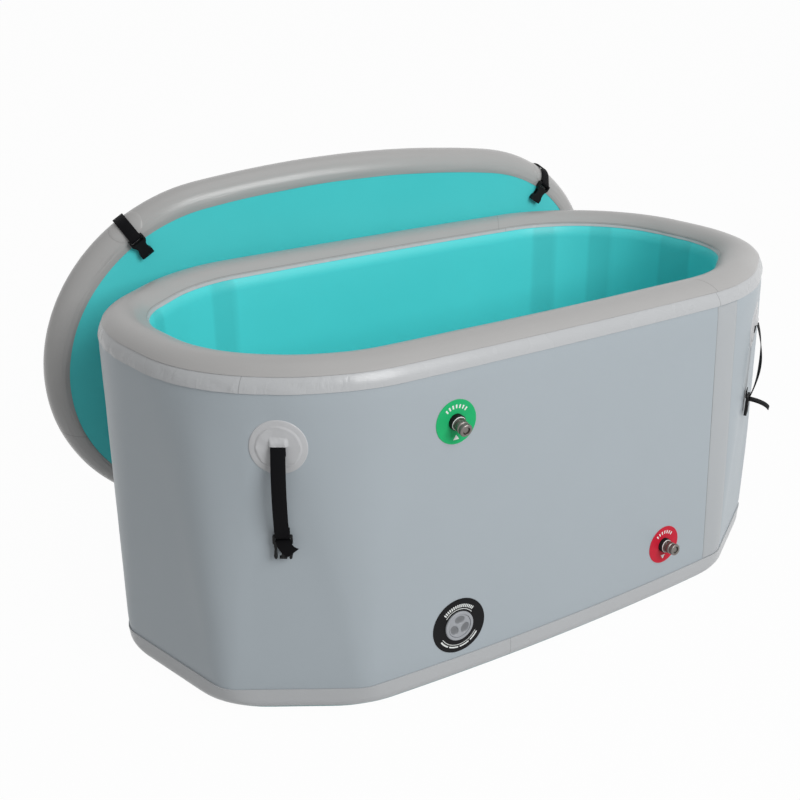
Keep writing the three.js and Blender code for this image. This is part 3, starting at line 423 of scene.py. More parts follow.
teal_colour = paint(84, 220, 222)
_, _, teal_cloth = cloth_material("teal_cloth", teal_colour, tone=0.05, gloss=0.42)
# Dull darker teal: painted shade on the turned-up edge at the foot of the tub.
_, _, base_teal_in_shade = cloth_material("shaded_base_teal_cloth", paint(130, 172, 174), tone=0.2, gloss=0.6)
sheet_thickness = 0.0016
sheet_turn = [math.radians(angle) for angle in range(90, base_tape_end - 1, -4)]
sheet_rings = [wall_outline(*base_place(base_round, angle)) for angle in sheet_turn]
sheet_rings += [wall_outline(*base_place(base_round - sheet_thickness, angle)) for angle in reversed(sheet_turn)]
base_sheet_mesh = lofted("base_sheet_cloth", sheet_rings, capped=(0, -1))
add_piece("base_sheet_cloth", base_sheet_mesh, "tub", base_teal_in_shade, "teal_cloth", ["base_sheet"])

# Floor panel: the teal air panel that closes the bottom of the tub, laid in between the walls,
# with a soft rounded edge.
floor_top = 0.070
floor_edge_round = 0.014
floor_inset = wall_thickness + 0.0003
floor_rings = [wall_outline(floor_inset, 0.002), wall_outline(floor_inset, floor_top - floor_edge_round)]
for step in range(1, 7):
    angle = math.radians(15 * step)
    floor_rings.append(wall_outline(
        floor_inset + floor_edge_round * (1 - math.cos(angle)),
        floor_top - floor_edge_round * (1 - math.sin(angle))))
floor_panel_mesh = lofted("floor_panel_cloth", floor_rings, capped=(0, -1))
add_piece("floor_panel_cloth", floor_panel_mesh, "tub", teal_cloth, "teal_cloth", ["floor_air_panel"])


# Air cores: the drop-stitch threads and air between the skins of wall and lid. They stay hidden inside
# the skins, so the frame's own solids are kept with a pale thread finish, drawn in behind the smoother skins.
core_slack = 0.004


def finish_node(node, material):
    nodes[node].data.materials.clear()
    nodes[node].data.materials.append(material)


_, _, thread_finish = cloth_material("drop_stitch_threads", paint(214, 217, 218), 0.004, 0.8, gloss=0.75)
for core in ("wall_air_core", "lid_air_core"):
    finish_node(core, thread_finish)
    slack = nodes[core].modifiers.new("slack_behind_skin", "DISPLACE")
    slack.mid_level = 0
    slack.strength = -core_slack

# Wall outer skin: grey coated cloth stretched flat by the drop-stitch threads, pulled in a little
# where the rim tape and the base tape are glued over its edges.
wall_colour = paint(168, 177, 183)
_, _, wall_grey = cloth_material("wall_grey_cloth", wall_colour, tone=0.035, gloss=0.4)
rim_outer_seam = 6
wall_top = rim_place(rim_radius, math.radians(rim_outer_seam))[1]
wall_skin = 0.0012
seam_pinch = 0.0014
seam_pinch_reach = 0.014
wall_levels = 28
fold_ridge = 0.0045
fold_ridge_half = 0.080
end_middle = 0.35


def wall_inset(height):
    near_top = math.exp(-(((wall_top - height) / seam_pinch_reach) ** 2))
    near_base = math.exp(-(((height - base_seam) / seam_pinch_reach) ** 2))
    return seam_pinch * (near_top + near_base)


def fold_push(point):
    """Outward push of the skin over the folds beside each end, where the bent panel keeps a sharper edge."""
    rise = (point.z - base_seam) / (wall_top - base_seam)
    folds = wall_folds(rise)
    away = min((point.xy - folds[i]).length for i in (1, 3, 6, 8))
    swell = smooth_step(0, 0.35, rise) * (1 - smooth_step(0.8, 1, rise))
    outward = Vector((point.x - math.copysign(end_middle, point.x), point.y, 0)).normalized()
    return outward * fold_ridge * swell * smooth_step(0, 1, 1 - away / fold_ridge_half)


wall_heights = []
for level in range(wall_levels + 1):
    share = (1 - math.cos(math.pi * level / wall_levels)) / 2
    wall_heights.append(between(base_seam, wall_top, share))
wall_rings = [wall_outline(wall_inset(height), height) for height in wall_heights]
wall_rings += [wall_outline(wall_skin + wall_inset(height), height) for height in reversed(wall_heights)]
wall_rings = [[point + fold_push(point) for point in ring] for ring in wall_rings]
wall_mesh = lofted("wall_outer_cloth", wall_rings, joined=True)
add_piece("wall_outer_cloth", wall_mesh, "tub", wall_grey, "wall_cloth", ["wall_outer_skin"])

# Wall inner skin: the same cloth in teal, from the floor up to its glued edge under the rim tape.
# At each fold a darker upright strip is painted in: painted shade of the crease in the cloth there.
rim_inner_seam = 150
inner_foot = 0.004
inner_levels = 16
fold_strip_half = 0.027
fold_crease_painted_shade = 0.13
fold_strip_places = [(0.433, 0.250), (0.545, 0.178), (0.613, 0.015), (-0.394, 0.262), (-0.562, 0.145)]


def inner_ring(level):
    return wall_thickness, between(inner_foot, rim_centre, level / inner_levels)


inner_rings = [wall_outline(*inner_ring(level)) for level in range(inner_levels + 1)]
for step in range(1, 7):
    inner_rings.append(wall_outline(*rim_place(rim_radius, math.radians(180 - 5 * step))))
for step in range(6, -1, -1):
    inner_rings.append(wall_outline(*rim_place(rim_radius - wall_skin, math.radians(180 - 5 * step))))
for level in range(inner_levels, -1, -4):
    inner_rings.append(wall_outline(wall_thickness - wall_skin, inner_ring(level)[1]))
inner_mesh = lofted("wall_inner_cloth", inner_rings, joined=True)
fold_shade_strip = inner_mesh.attributes.new("fold_shade_strip", "FLOAT", "POINT")
for vertex in inner_mesh.vertices:
    spot = Vector((vertex.co.x, abs(vertex.co.y)))
    away = min((spot - Vector(place)).length for place in fold_strip_places)
    fold_shade_strip.data[vertex.index].value = 1 - smooth_step(fold_strip_half - 0.004, fold_strip_half + 0.004, away)
# Inside the fold mask the teal is darkened by a share, a painted shade for the creases at the folds.
tree, cloth_colour, inner_teal = cloth_material("inner_teal_cloth", teal_colour, tone=0.05, gloss=0.42)
crease_shade_mask = tree.nodes.new("ShaderNodeAttribute")
crease_shade_mask.attribute_name = "fold_shade_strip"
crease_shade_factor = maths(tree, "MULTIPLY_ADD", crease_shade_mask.outputs["Fac"], -fold_crease_painted_shade, 1)
tree.links.new(scaled_colour(tree, cloth_colour, crease_shade_factor), tree.nodes["Principled BSDF"].inputs["Base Color"])
add_piece("wall_inner_cloth", inner_mesh, "tub", inner_teal, "teal_cloth", ["wall_inner_skin"])

# Base tape: a band of grey coated cloth glued round the foot of the wall, over the edges of wall and sheet.
tape_colour = paint(180, 182, 184)
tape_proud = 0.0008
tape_line_half = 0.0007
# Strength of the thin dark lines: real butt joints, and painted shadow where a strip's edges are passed in as joints.
joint_and_edge_shadow_line = 0.5


def tape_material(name, colour, joints_round=(), edges=(), gloss=0.33):
    """Glossier tape cloth; a thin dark line marks each butt joint round it and each glued edge along it."""
    tree, cloth_colour, material = cloth_material(name, colour, tone=0.05, gloss=gloss, weave=0.15)
    place = tree.nodes.new("ShaderNodeTexCoord")
    split = tree.nodes.new("ShaderNodeSeparateXYZ")
    tree.links.new(place.outputs["UV"], split.inputs[0])
    line = None
    marks = [("X", spot, joint_and_edge_shadow_line) for spot in joints_round] + [("Y", *edge) for edge in edges]
    for way, spot, strength in marks:
        mark = maths(tree, "COMPARE", split.outputs[way], spot, tape_line_half)
        mark = maths(tree, "MULTIPLY", mark, strength)
        line = mark if line is None else maths(tree, "MAXIMUM", line, mark)
    if line is not None:
        patchy = maths(tree, "ADD", noise_value(tree, place.outputs["Object"], 5), 0.75)
        kept = maths(tree, "SUBTRACT", 1, maths(tree, "MULTIPLY", line, patchy))
        base = tree.nodes["Principled BSDF"].inputs["Base Color"]
        tree.links.new(scaled_colour(tree, cloth_colour, kept), base)
    return material


base_tape_angles = [math.radians(angle) for angle in range(0, base_tape_end + 1, 2)]
base_rings = [wall_outline(-tape_proud, base_seam)]
base_rings += [wall_outline(*base_place(base_round + tape_proud, angle)) for angle in base_tape_angles]
base_rings += [wall_outline(*base_place(base_round - wall_skin, angle)) for angle in reversed(base_tape_angles)]
base_rings += [wall_outline(wall_skin, base_seam)]
base_mesh = lofted("base_tape_cloth", base_rings, joined=True)
base_tape_finish = tape_material("base_tape_cloth", tape_colour, joints_round=(3.621,))
add_piece("base_tape_cloth", base_mesh, "tub", base_tape_finish, "tape_cloth", ["base_tape"])

# Rim tape: a wide grey tape that closes the wall's top edge in a round tube, with a second, narrower
# cap tape glued along its crown. The tapes pucker at the seams where the rim bends.
# The rim tape is painted lighter than the cap tape: a painted highlight for the glossy band below the cap.
rim_tape_highlit_colour = paint(184, 186, 188)
cap_colour = paint(171, 170, 169)
rim_tape_radius = rim_radius + tape_proud
rim_steps = 28
cap_start = 38
cap_end = 142
cap_steps = 20
cap_gap = 0.0003
cap_thickness = 0.0009
pucker_depth = 0.0032
pucker_pitch = 0.026
swell_depth = 0.0005
swell_pitch = 0.11


def rim_section(radius, start, end, steps):
    return [
        wall_outline(*rim_place(radius, math.radians(start + (end - start) * step / steps)))
        for step in range(steps + 1)
    ]


def rim_pucker(spot, angle):
    """How far the tape is drawn in at a place of the rim: dimples by the seams of the bends, and a soft swell."""
    bend = smooth_step(0.40, 0.54, abs(spot.x))
    near_seam = math.exp(-(((angle - 14) / 13) ** 2)) + 0.6 * math.exp(-(((angle - 146) / 12) ** 2))
    dimple = max(noise.noise(Vector((spot.x, spot.y, angle / 900)) / pucker_pitch) - 0.05, 0)
    swell = noise.noise(Vector((spot.x, spot.y, angle / 400)) / swell_pitch)
    return -pucker_depth * bend * near_seam * dimple + swell_depth * swell


def ripple(mesh, count, depth):
    """Moves each point of a lofted mesh along its normal by depth(point, ring)."""
    moves = [vertex.normal * depth(vertex.co, vertex.index // count) for vertex in mesh.vertices]
    for vertex, move in zip(mesh.vertices, moves):
        vertex.co += move


def rim_ripple(start, end, steps):
    def depth(spot, ring):
        if ring > steps:
            return 0
        return rim_pucker(spot, start + (end - start) * ring / steps)
    return depth


# Tape crease effect: folds of a given pitch along and across the tape, near one glued edge, where the tape bends.
tape_creases, enter, leave = new_group("tape_creases", {
    "Along": ("Float", 0.008),
    "Across": ("Float", 0.04),
    "Edge": ("Float", 0.0),
    "Reach": ("Float", 0.03),
    "Bend": ("Float", 0.38),
}, {"Height": ("Float", None)})
place = tape_creases.nodes.new("ShaderNodeTexCoord")
split = tape_creases.nodes.new("ShaderNodeSeparateXYZ")
tape_creases.links.new(place.outputs["UV"], split.inputs[0])
stretched = tape_creases.nodes.new("ShaderNodeCombineXYZ")
tape_creases.links.new(maths(tape_creases, "DIVIDE", split.outputs["X"], enter["Along"]), stretched.inputs["X"])
tape_creases.links.new(maths(tape_creases, "DIVIDE", split.outputs["Y"], enter["Across"]), stretched.inputs["Y"])
fold_noise = noise_value(tape_creases, stretched.outputs[0], 1)
folds = maths(tape_creases, "MULTIPLY", fold_noise, maths(tape_creases, "ABSOLUTE", fold_noise))
from_edge = maths(tape_creases, "ABSOLUTE", maths(tape_creases, "SUBTRACT", split.outputs["Y"], enter["Edge"]))
near_edge = maths(tape_creases, "SUBTRACT", 1, maths(tape_creases, "DIVIDE", from_edge, enter["Reach"]))
body_place = tape_creases.nodes.new("ShaderNodeSeparateXYZ")
tape_creases.links.new(place.outputs["Object"], body_place.inputs[0])
past_bend = maths(
    tape_creases, "SUBTRACT", maths(tape_creases, "ABSOLUTE", body_place.outputs["X"]), enter["Bend"])
in_bend = maths(tape_creases, "MINIMUM", maths(tape_creases, "MAXIMUM", maths(
    tape_creases, "MULTIPLY", past_bend, 10), 0), 1)
where = maths(tape_creases, "MULTIPLY", in_bend, maths(tape_creases, "MAXIMUM", near_edge, 0))
tape_creases.links.new(maths(tape_creases, "MULTIPLY", folds, where), leave["Height"])


def add_creases(material, depth, values):
    """Lays the tape crease effect under the cloth's own relief."""
    tree = material.node_tree
    effect = tree.nodes.new("ShaderNodeGroup")
    effect.node_tree = tape_creases
    for socket, value in values.items():
        effect.inputs[socket].default_value = value
    fold = tree.nodes.new("ShaderNodeBump")
    fold.inputs["Strength"].default_value = 1
    fold.inputs["Distance"].default_value = depth
    tree.links.new(effect.outputs["Height"], fold.inputs["Height"])
    tree.links.new(fold.outputs["Normal"], tree.nodes["Bump"].inputs["Normal"])


rim_rings = rim_section(rim_tape_radius, rim_outer_seam, rim_inner_seam, rim_steps)
rim_rings += rim_section(rim_radius - wall_skin, rim_inner_seam, rim_outer_seam, 10)
rim_mesh = lofted("rim_tape_cloth", rim_rings, joined=True)
ripple(rim_mesh, outline_points, rim_ripple(rim_outer_seam, rim_inner_seam, rim_steps))
rim_tape_finish = tape_material("rim_tape_cloth", rim_tape_highlit_colour, joints_round=(0.373, 1.460, 3.079), gloss=0.27)
add_creases(rim_tape_finish, 0.022, {"Along": 0.020, "Across": 0.05, "Reach": 0.036, "Bend": 0.36})
add_piece("rim_tape_cloth", rim_mesh, "tub", rim_tape_finish, "tape_cloth", ["rim_tape"])
cap_rings = rim_section(rim_tape_radius + cap_gap + cap_thickness, cap_start, cap_end, cap_steps)
cap_rings += rim_section(rim_tape_radius + cap_gap, cap_end, cap_start, 10)
cap_mesh = lofted("rim_cap_cloth", cap_rings, joined=True)
ripple(cap_mesh, outline_points, rim_ripple(cap_start, cap_end, cap_steps))
cap_width = math.radians(cap_end - cap_start) * rim_tape_radius
cap_edges = ((0, 0.12), (cap_width, 0.38))
cap_finish = tape_material("rim_cap_cloth", cap_colour, joints_round=(0.373, 1.460), edges=cap_edges)
add_piece("rim_cap_cloth", cap_mesh, "tub", cap_finish, "tape_cloth", ["rim_cap_tape"])

# Wall seam strip: an upright strip glued over the joint of the outer skin, near the right front fold.
wall_surface = BVHTree.FromPolygons(
    [vertex.co for vertex in wall_mesh.vertices], [face.vertices for face in wall_mesh.polygons])
strip_from_fold = 0.048
strip_lean = 0.028
strip_width = 0.065
strip_thickness = 0.001
strip_columns = 12
strip_rows = 40
strip_middle = wall_folds(1)[0].x - strip_from_fold + strip_lean / 2 - strip_width / 2


def onto_wall(seat, across, up, lift):
    """The place on the outer skin straight behind a point of the seat's plane, lifted off the skin."""
    inward = -seat.col[2].to_3d()
    hit = wall_surface.ray_cast(seat @ Vector((across, up, 0.04)), inward)[0]
    return hit - inward * lift


def wall_seat(place, heading, height):
    """A frame on the outer skin with X to the right, Y up and Z outwards."""
    outward = Vector((*heading, 0)).normalized()
    hit, normal, _, _ = wall_surface.ray_cast(Vector((*place, height)) + outward, -outward)
    right = Vector((0, 0, 1)).cross(normal).normalized()
    turn = Matrix((right, normal.cross(right), normal)).transposed()
    return Matrix.Translation(hit) @ turn.to_4x4()


def grid_mesh(name, columns, rows, spot):
    """A sheet of quads over places spot(column share, row share). UVs are metres across and along it."""
    points = [spot(c / columns, r / rows) for r in range(rows + 1) for c in range(columns + 1)]
    width = columns + 1
    faces = []
    for row in range(rows):
        for column in range(columns):
            corner = row * width + column
            faces.append((corner, corner + 1, corner + width + 1, corner + width))
    mesh = bpy.data.meshes.new(name)
    mesh.from_pydata(points, [], faces)
    across = (points[columns] - points[0]).length / columns
    along = (points[rows * width] - points[0]).length / rows
    uv = mesh.uv_layers.new(name="cloth")
    for loop in mesh.loops:
        row, column = divmod(loop.vertex_index, width)
        uv.data[loop.index].uv = (column * across, row * along)
    return mesh


def edge_lift(share, steps, thickness):
    """The lift of a glued sheet: none along its edge, its thickness one step in."""
    return thickness if 0.5 / steps < share < 1 - 0.5 / steps else 0


strip_seat = wall_seat((strip_middle, 0), (0, -1), (base_seam + wall_top) / 2)
strip_half_height = (wall_top - base_seam) / 2 - 0.0015


def strip_spot(column, row):
    lift = edge_lift(column, strip_columns, strip_thickness)
    across = strip_width * (column - 0.5) - strip_lean * (row - 0.5)
    return onto_wall(strip_seat, across, strip_half_height * (2 * row - 1), lift)


# Dark lines along both edges of the strip: painted shadow under its raised edges.
strip_edge_shadow_lines = (tape_line_half, strip_width - tape_line_half)
strip_grey = tape_material("seam_strip_cloth", paint(174, 178, 181), joints_round=strip_edge_shadow_lines, gloss=0.38)
strip_mesh = grid_mesh("seam_strip_cloth", strip_columns, strip_rows, strip_spot)
add_piece("seam_strip_cloth", strip_mesh, "tub", strip_grey, "wall_cloth", ["wall_seam_strip"], sharp=80)

# Inflation valves: one low on the wall in a printed round label, one on the lid's outer face.
# Moulded grey plastic: a flanged cup glued into the skin, and a quarter-turn cap with three finger pockets.
clearance = 0.0003
label_thickness = 0.0008
valve_label_radius = 0.056
valve_flange_radius = 0.030
valve_flange_height = 0.004
valve_barrel_radius = 0.026
valve_cup_radius = 0.024
valve_depth = 0.034
valve_seat_thickness = 0.004
valve_cap_thickness = 0.006
valve_cap_sink = 0.001
valve_stem_radius = 0.003
valve_button_radius = 0.007
valve_button_height = 0.003
spring_wire = 0.0005
spring_turns = 4
pocket_depth = 0.0025
pocket_radius = 0.0096
pocket_circle = 0.0130
round_steps = 72


def eased(profile, radius, closed, steps=3):
    """The profile with each corner rounded by a short curve."""
    points = [Vector(point) for point in profile]
    count = len(points)
    rounded = []
    for i, corner in enumerate(points):
        if not closed and i in (0, count - 1):
            rounded.append(corner)
            continue
        before = points[i - 1] - corner
        after = points[(i + 1) % count] - corner
        reach = min(radius, 0.45 * before.length, 0.45 * after.length)
        start = corner + before.normalized() * reach
        end = corner + after.normalized() * reach
        for step in range(steps + 1):
            share = step / steps
            rounded.append(start.lerp(corner, share).lerp(corner.lerp(end, share), share))
    return rounded


def turned(name, profile, seat, ease=0.0006):
    """Mesh turned round the seat's Z axis from (radius, height) pairs; it closes on the axis or on itself."""
    on_axis = profile[0][0] == 0
    line = eased(profile, ease, not on_axis)
    if on_axis:
        line = line[1:-1] if profile[-1][0] == 0 else line[1:]
    rings = []
    for radius, height in line:
        turns = [2 * math.pi * i / round_steps for i in range(round_steps)]
        rings.append([seat @ Vector((radius * math.cos(t), radius * math.sin(t), height)) for t in turns])
    return lofted(name, rings, joined=not on_axis, capped=(0, -1) if on_axis else ())


# Moulded plastic effect: a fine spark-eroded grain, a faint cloudiness and slightly polished patches.
moulded, enter, leave = new_group("moulded_plastic", {
    "Color": ("Color", (0.3, 0.3, 0.3, 1)),
    "Grain": ("Float", 900.0),
    "Gloss": ("Float", 0.4),
}, {"Color": ("Color", None), "Roughness": ("Float", None), "Height": ("Float", None)})
place = moulded.nodes.new("ShaderNodeTexCoord").outputs["Object"]
grain = moulded.nodes.new("ShaderNodeTexNoise")
moulded.links.new(place, grain.inputs["Vector"])
moulded.links.new(enter["Grain"], grain.inputs["Scale"])
cloud = noise_value(moulded, place, 40)
moulded.links.new(
    scaled_colour(moulded, enter["Color"], maths(moulded, "MULTIPLY_ADD", cloud, 0.12, 1)), leave["Color"])
moulded.links.new(maths(moulded, "MULTIPLY_ADD", cloud, 0.2, enter["Gloss"]), leave["Roughness"])
moulded.links.new(grain.outputs["Fac"], leave["Height"])


def grouped_material(name, group, values, bump, distance, specular=0.5, metallic=0.0):
    """A material whose colour, roughness and relief come from one effect group."""
    tree, shader, material = new_material(name)
    effect = tree.nodes.new("ShaderNodeGroup")
    effect.node_tree = group
    for socket, value in values.items():
        effect.inputs[socket].default_value = value
    relief = tree.nodes.new("ShaderNodeBump")
    relief.inputs["Strength"].default_value = bump
    relief.inputs["Distance"].default_value = distance
    tree.links.new(effect.outputs["Height"], relief.inputs["Height"])
    tree.links.new(effect.outputs["Color"], shader.inputs["Base Color"])
    tree.links.new(effect.outputs["Roughness"], shader.inputs["Roughness"])
    tree.links.new(relief.outputs["Normal"], shader.inputs["Normal"])
    shader.inputs["Specular IOR Level"].default_value = specular
    shader.inputs["Metallic"].default_value = metallic
    return material


valve_finish = {"Color": paint(158, 161, 166), "Gloss": 0.38}
valve_plastic = grouped_material("valve_grey_plastic", moulded, valve_finish, 0.15, 0.0002)
cap_plastic = grouped_material("valve_cap_plastic", moulded, valve_finish, 0.15, 0.0002)
# The cap's finger pockets are darkened by their depth: painted shade inside the recesses.
tree = cap_plastic.node_tree
pocket_mask = tree.nodes.new("ShaderNodeAttribute")
pocket_mask.attribute_name = "pocket"
painted_pocket_shade = maths(tree, "MULTIPLY_ADD", pocket_mask.outputs["Fac"], -0.55, 1)
pocket_colour = scaled_colour(tree, tree.nodes["Group"].outputs["Color"], painted_pocket_shade)
tree.links.new(pocket_colour, tree.nodes["Principled BSDF"].inputs["Base Color"])


spring_steel = grouped_material(
    "spring_steel", moulded, {"Color": paint(160, 161, 163), "Gloss": 0.28}, 0.05, 0.0001, metallic=1.0)


def axis_frame(place, axis):
    """A frame at a place with Z along an axis and Y as near to upwards as it can be."""
    out = Vector(axis).normalized()
    right = Vector((0, 0, 1)).cross(out).normalized()
    return Matrix.Translation(Vector(place)) @ Matrix((right, out.cross(right), out)).transposed().to_4x4()


def pocket_drop(radius, turn):
    """Depth of the cap's three finger pockets at a place of its top."""
    drop = 0
    for i in range(3):
        away = turn - math.pi / 2 - i * 2 * math.pi / 3
        along = (radius * math.cos(away) - pocket_circle) / (pocket_radius * 0.86)
        side = radius * math.sin(away) / (pocket_radius * 1.15)
        reach = math.hypot(along, side)
        drop = max(drop, (1 - smooth_step(0.82, 1.06, reach)) * (1 - 0.22 * reach * reach))
    return pocket_depth * drop


def add_spring(name, seat, radius, bottom, top, body):
    """A wire coil round a stem."""
    foot = bottom + 2 * spring_wire
    head = top - 2 * spring_wire
    steps = 24 * spring_turns
    rings = []
    for step in range(steps + 1):
        angle = 2 * math.pi * spring_turns * step / steps
        out = Vector((math.cos(angle), math.sin(angle), 0))
        middle = radius * out + Vector((0, 0, between(foot, head, step / steps)))
        ring = []
        for i in range(8):
            turn = math.pi * i / 4
            ring.append(seat @ (middle + spring_wire * (out * math.cos(turn) + Vector((0, 0, math.sin(turn))))))
        rings.append(ring)
    coil = lofted(f"{name}_coil", rings, capped=(0, -1))
    piece = add_piece(f"{name}_coil", coil, body, spring_steel, "spring_steel", [name], sharp=60)
    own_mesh(piece)


def add_valve(name, body):
    turn = joints[f"{name}_cap_turn"]
    seat = axis_frame(turn["pos_m"], turn["axis"])
    seat_top = valve_seat_thickness - valve_depth
    cup = turned(f"{name}_cup", [
        (valve_cup_radius, valve_flange_height),
        (valve_flange_radius - 0.0012, valve_flange_height),
        (valve_flange_radius, valve_flange_height - 0.0014),
        (valve_flange_radius, clearance),
        (valve_barrel_radius, clearance),
        (valve_barrel_radius, -valve_depth),
        (0.0035, -valve_depth),
        (0.0035, seat_top),
        (valve_cup_radius, seat_top),
    ], seat)
    add_piece(f"{name}_cup", cup, body, valve_plastic, "valve_plastic", [f"{name}_body"])
    cap_top = valve_flange_height - valve_cap_sink
    cap_radius = valve_cup_radius - clearance
    edge = [(cap_radius, cap_top - valve_cap_thickness), (cap_radius, cap_top - 0.0010)]
    edge += [(cap_radius - 0.0003, cap_top - 0.0004), (cap_radius - 0.0010, cap_top)]
    rings = []
    shade = []
    for radius, height in edge + [((cap_radius - 0.001) * (1 - step / 40), cap_top) for step in range(1, 40)]:
        ring = []
        for i in range(round_steps * 2):
            angle = math.pi * i / round_steps
            drop = pocket_drop(radius, angle) if height == cap_top else 0
            shade.append(drop / pocket_depth)
            ring.append(seat @ Vector((radius * math.cos(angle), radius * math.sin(angle), height - drop)))
        rings.append(ring)
    cap = lofted(f"{name}_turn_cap", rings, capped=(0, -1))
    # The pocket depth share is kept as the mask of the painted pocket shade.
    pocket = cap.attributes.new("pocket", "FLOAT", "POINT")
    for vertex, depth in zip(cap.vertices, shade):
        pocket.data[vertex.index].value = depth
    add_piece(f"{name}_turn_cap", cap, f"{name}_cap", cap_plastic, "valve_plastic", [f"{name}_cap"], sharp=60)
    finish_node(f"{name}_stem", valve_plastic)
    button_bottom = cap_top - valve_cap_thickness - clearance - valve_button_height
    add_spring(
        f"{name}_spring", seat, (valve_stem_radius + valve_button_radius) / 2,
        seat_top + clearance, button_bottom - clearance, body)
    return seat


def label_rings(seat, inner, outer, across_steps):
    """Rings of a round label that lies on the wall: its bore, its face and its rim."""
    rings = []
    face = [(inner, 0)] + [
        (between(inner, outer, step / across_steps), label_thickness) for step in range(across_steps + 1)
    ] + [(outer, 0)]
    for radius, lift in face:
        turns = [2 * math.pi * i / round_steps for i in range(round_steps)]
        rings.append([onto_wall(seat, radius * math.cos(t), radius * math.sin(t), lift) for t in turns])
    return rings


def add_label(name, seat, inner, outer, material, slot, node):
    """A printed round label; its UVs are metres from its middle, to the right and up."""
    mesh = lofted(name, label_rings(seat, inner, outer, 6))
    back = seat.inverted()
    uv = mesh.uv_layers["cloth"]
    for loop in mesh.loops:
        spot = back @ mesh.vertices[loop.vertex_index].co
        uv.data[loop.index].uv = (spot.x, spot.y)
    add_piece(name, mesh, "tub", material, slot, [node])


def label_material(name, ground, arcs, arrow=None):
    """Printed vinyl: white arcs as (inner, outer, first, last degrees), and an arrow head up or down an axis."""
    tree, shader, material = new_material(name)
    place = tree.nodes.new("ShaderNodeTexCoord")
    split = tree.nodes.new("ShaderNodeSeparateXYZ")
    tree.links.new(place.outputs["UV"], split.inputs[0])
    right, up = split.outputs["X"], split.outputs["Y"]
    distance = maths(tree, "SQRT", maths(
        tree, "ADD", maths(tree, "MULTIPLY", right, right), maths(tree, "MULTIPLY", up, up)))
    angle = maths(tree, "ARCTAN2", up, right)
    print_mask = None
    for inner, outer, first, last in arcs:
        in_band = maths(tree, "COMPARE", distance, (inner + outer) / 2, (outer - inner) / 2)
        middle = math.radians((first + last) / 2)
        in_arc = maths(tree, "COMPARE", angle, middle, math.radians((last - first) / 2))
        mark = maths(tree, "MULTIPLY", in_band, in_arc)
        print_mask = mark if print_mask is None else maths(tree, "MAXIMUM", print_mask, mark)
    if arrow:
        tip, tail, half = arrow
        in_length = maths(tree, "COMPARE", up, (tip + tail) / 2, abs(tip - tail) / 2)
        slope = half / (tail - tip)
        room = maths(tree, "MULTIPLY", maths(tree, "SUBTRACT", up, tip), slope)
        in_width = maths(tree, "LESS_THAN", maths(tree, "ABSOLUTE", right), room)
        print_mask = maths(tree, "MAXIMUM", print_mask, maths(tree, "MULTIPLY", in_length, in_width))
    faded = maths(tree, "MULTIPLY_ADD", noise_value(tree, place.outputs["Object"], 60), 0.14, 1)
    colour = tree.nodes.new("ShaderNodeMix")
    colour.data_type = "RGBA"
    colour.inputs["A"].default_value = ground
    colour.inputs["B"].default_value = paint(232, 235, 233)
    tree.links.new(print_mask, colour.inputs["Factor"])
    tree.links.new(scaled_colour(tree, colour.outputs["Result"], faded), shader.inputs["Base Color"])
    rough = maths(tree, "MULTIPLY_ADD", noise_value(tree, place.outputs["Object"], 25), 0.2, 0.42)
    tree.links.new(rough, shader.inputs["Roughness"])
    shader.inputs["Specular IOR Level"].default_value = 0.12
    return material


valve_seat = add_valve("valve", "tub")
valve_marks = [(0.0340, 0.0352, 38, 142), (0.0400, 0.0412, -150, -30)]
valve_marks += [(0.0380, 0.0445, angle, angle + 3.4) for angle in range(44, 138, 6)]
valve_marks += [(0.0440, 0.0470, angle, angle + 26) for angle in (-148, -118, -88, -58)]
valve_label = label_material("valve_label_print", paint(16, 16, 18), valve_marks)
add_label("valve_label", valve_seat, valve_flange_radius + clearance, valve_label_radius,
          valve_label, "black_label", "valve_label_ring")
add_valve("lid_valve", "lid")

# Water inlet and outlet: a round coloured label, a black bushing through the wall with a flange nut inside,
# a white seal ring and a grey metal quick-connect nipple with a sprung poppet in its mouth.
water_label_radius = 0.041
bushing_radius = 0.015
bushing_bore = 0.011
bushing_collar = 0.008
bushing_inside = 0.014
flange_nut_radius = 0.033
flange_nut_thickness = 0.007
flange_nut_hub_radius = 0.021
flange_nut_hub = 0.005
seal_thickness = 0.0017
seal_bore = 0.008
seal_bulge = 0.0007
nipple_radius = 0.012
nipple_shoulder = 0.0128
nipple_shoulder_height = 0.003
nipple_groove = 0.0104
nipple_groove_width = 0.0024
nipple_length = 0.026
nipple_tail_radius = 0.0065
nipple_tail = 0.016
nipple_mouth = 0.0072
nipple_mouth_depth = 0.016
poppet_stem_radius = 0.002
poppet_head_height = 0.0035
poppet_sink = 0.002
poppet_travel = 0.005

black_plastic = grouped_material(
    "black_moulded_plastic", moulded, {"Color": paint(15, 16, 17), "Gloss": 0.45}, 0.2, 0.0002, specular=0.2)
seal_rubber = grouped_material(
    "white_seal_rubber", moulded, {"Color": paint(242, 243, 241), "Gloss": 0.5, "Grain": 500.0}, 0.1, 0.0002)
nipple_metal = grouped_material(
    "turned_nickel", moulded, {"Color": paint(126, 122, 118), "Gloss": 0.4, "Grain": 1500.0}, 0.08, 0.0001,
    metallic=1.0)


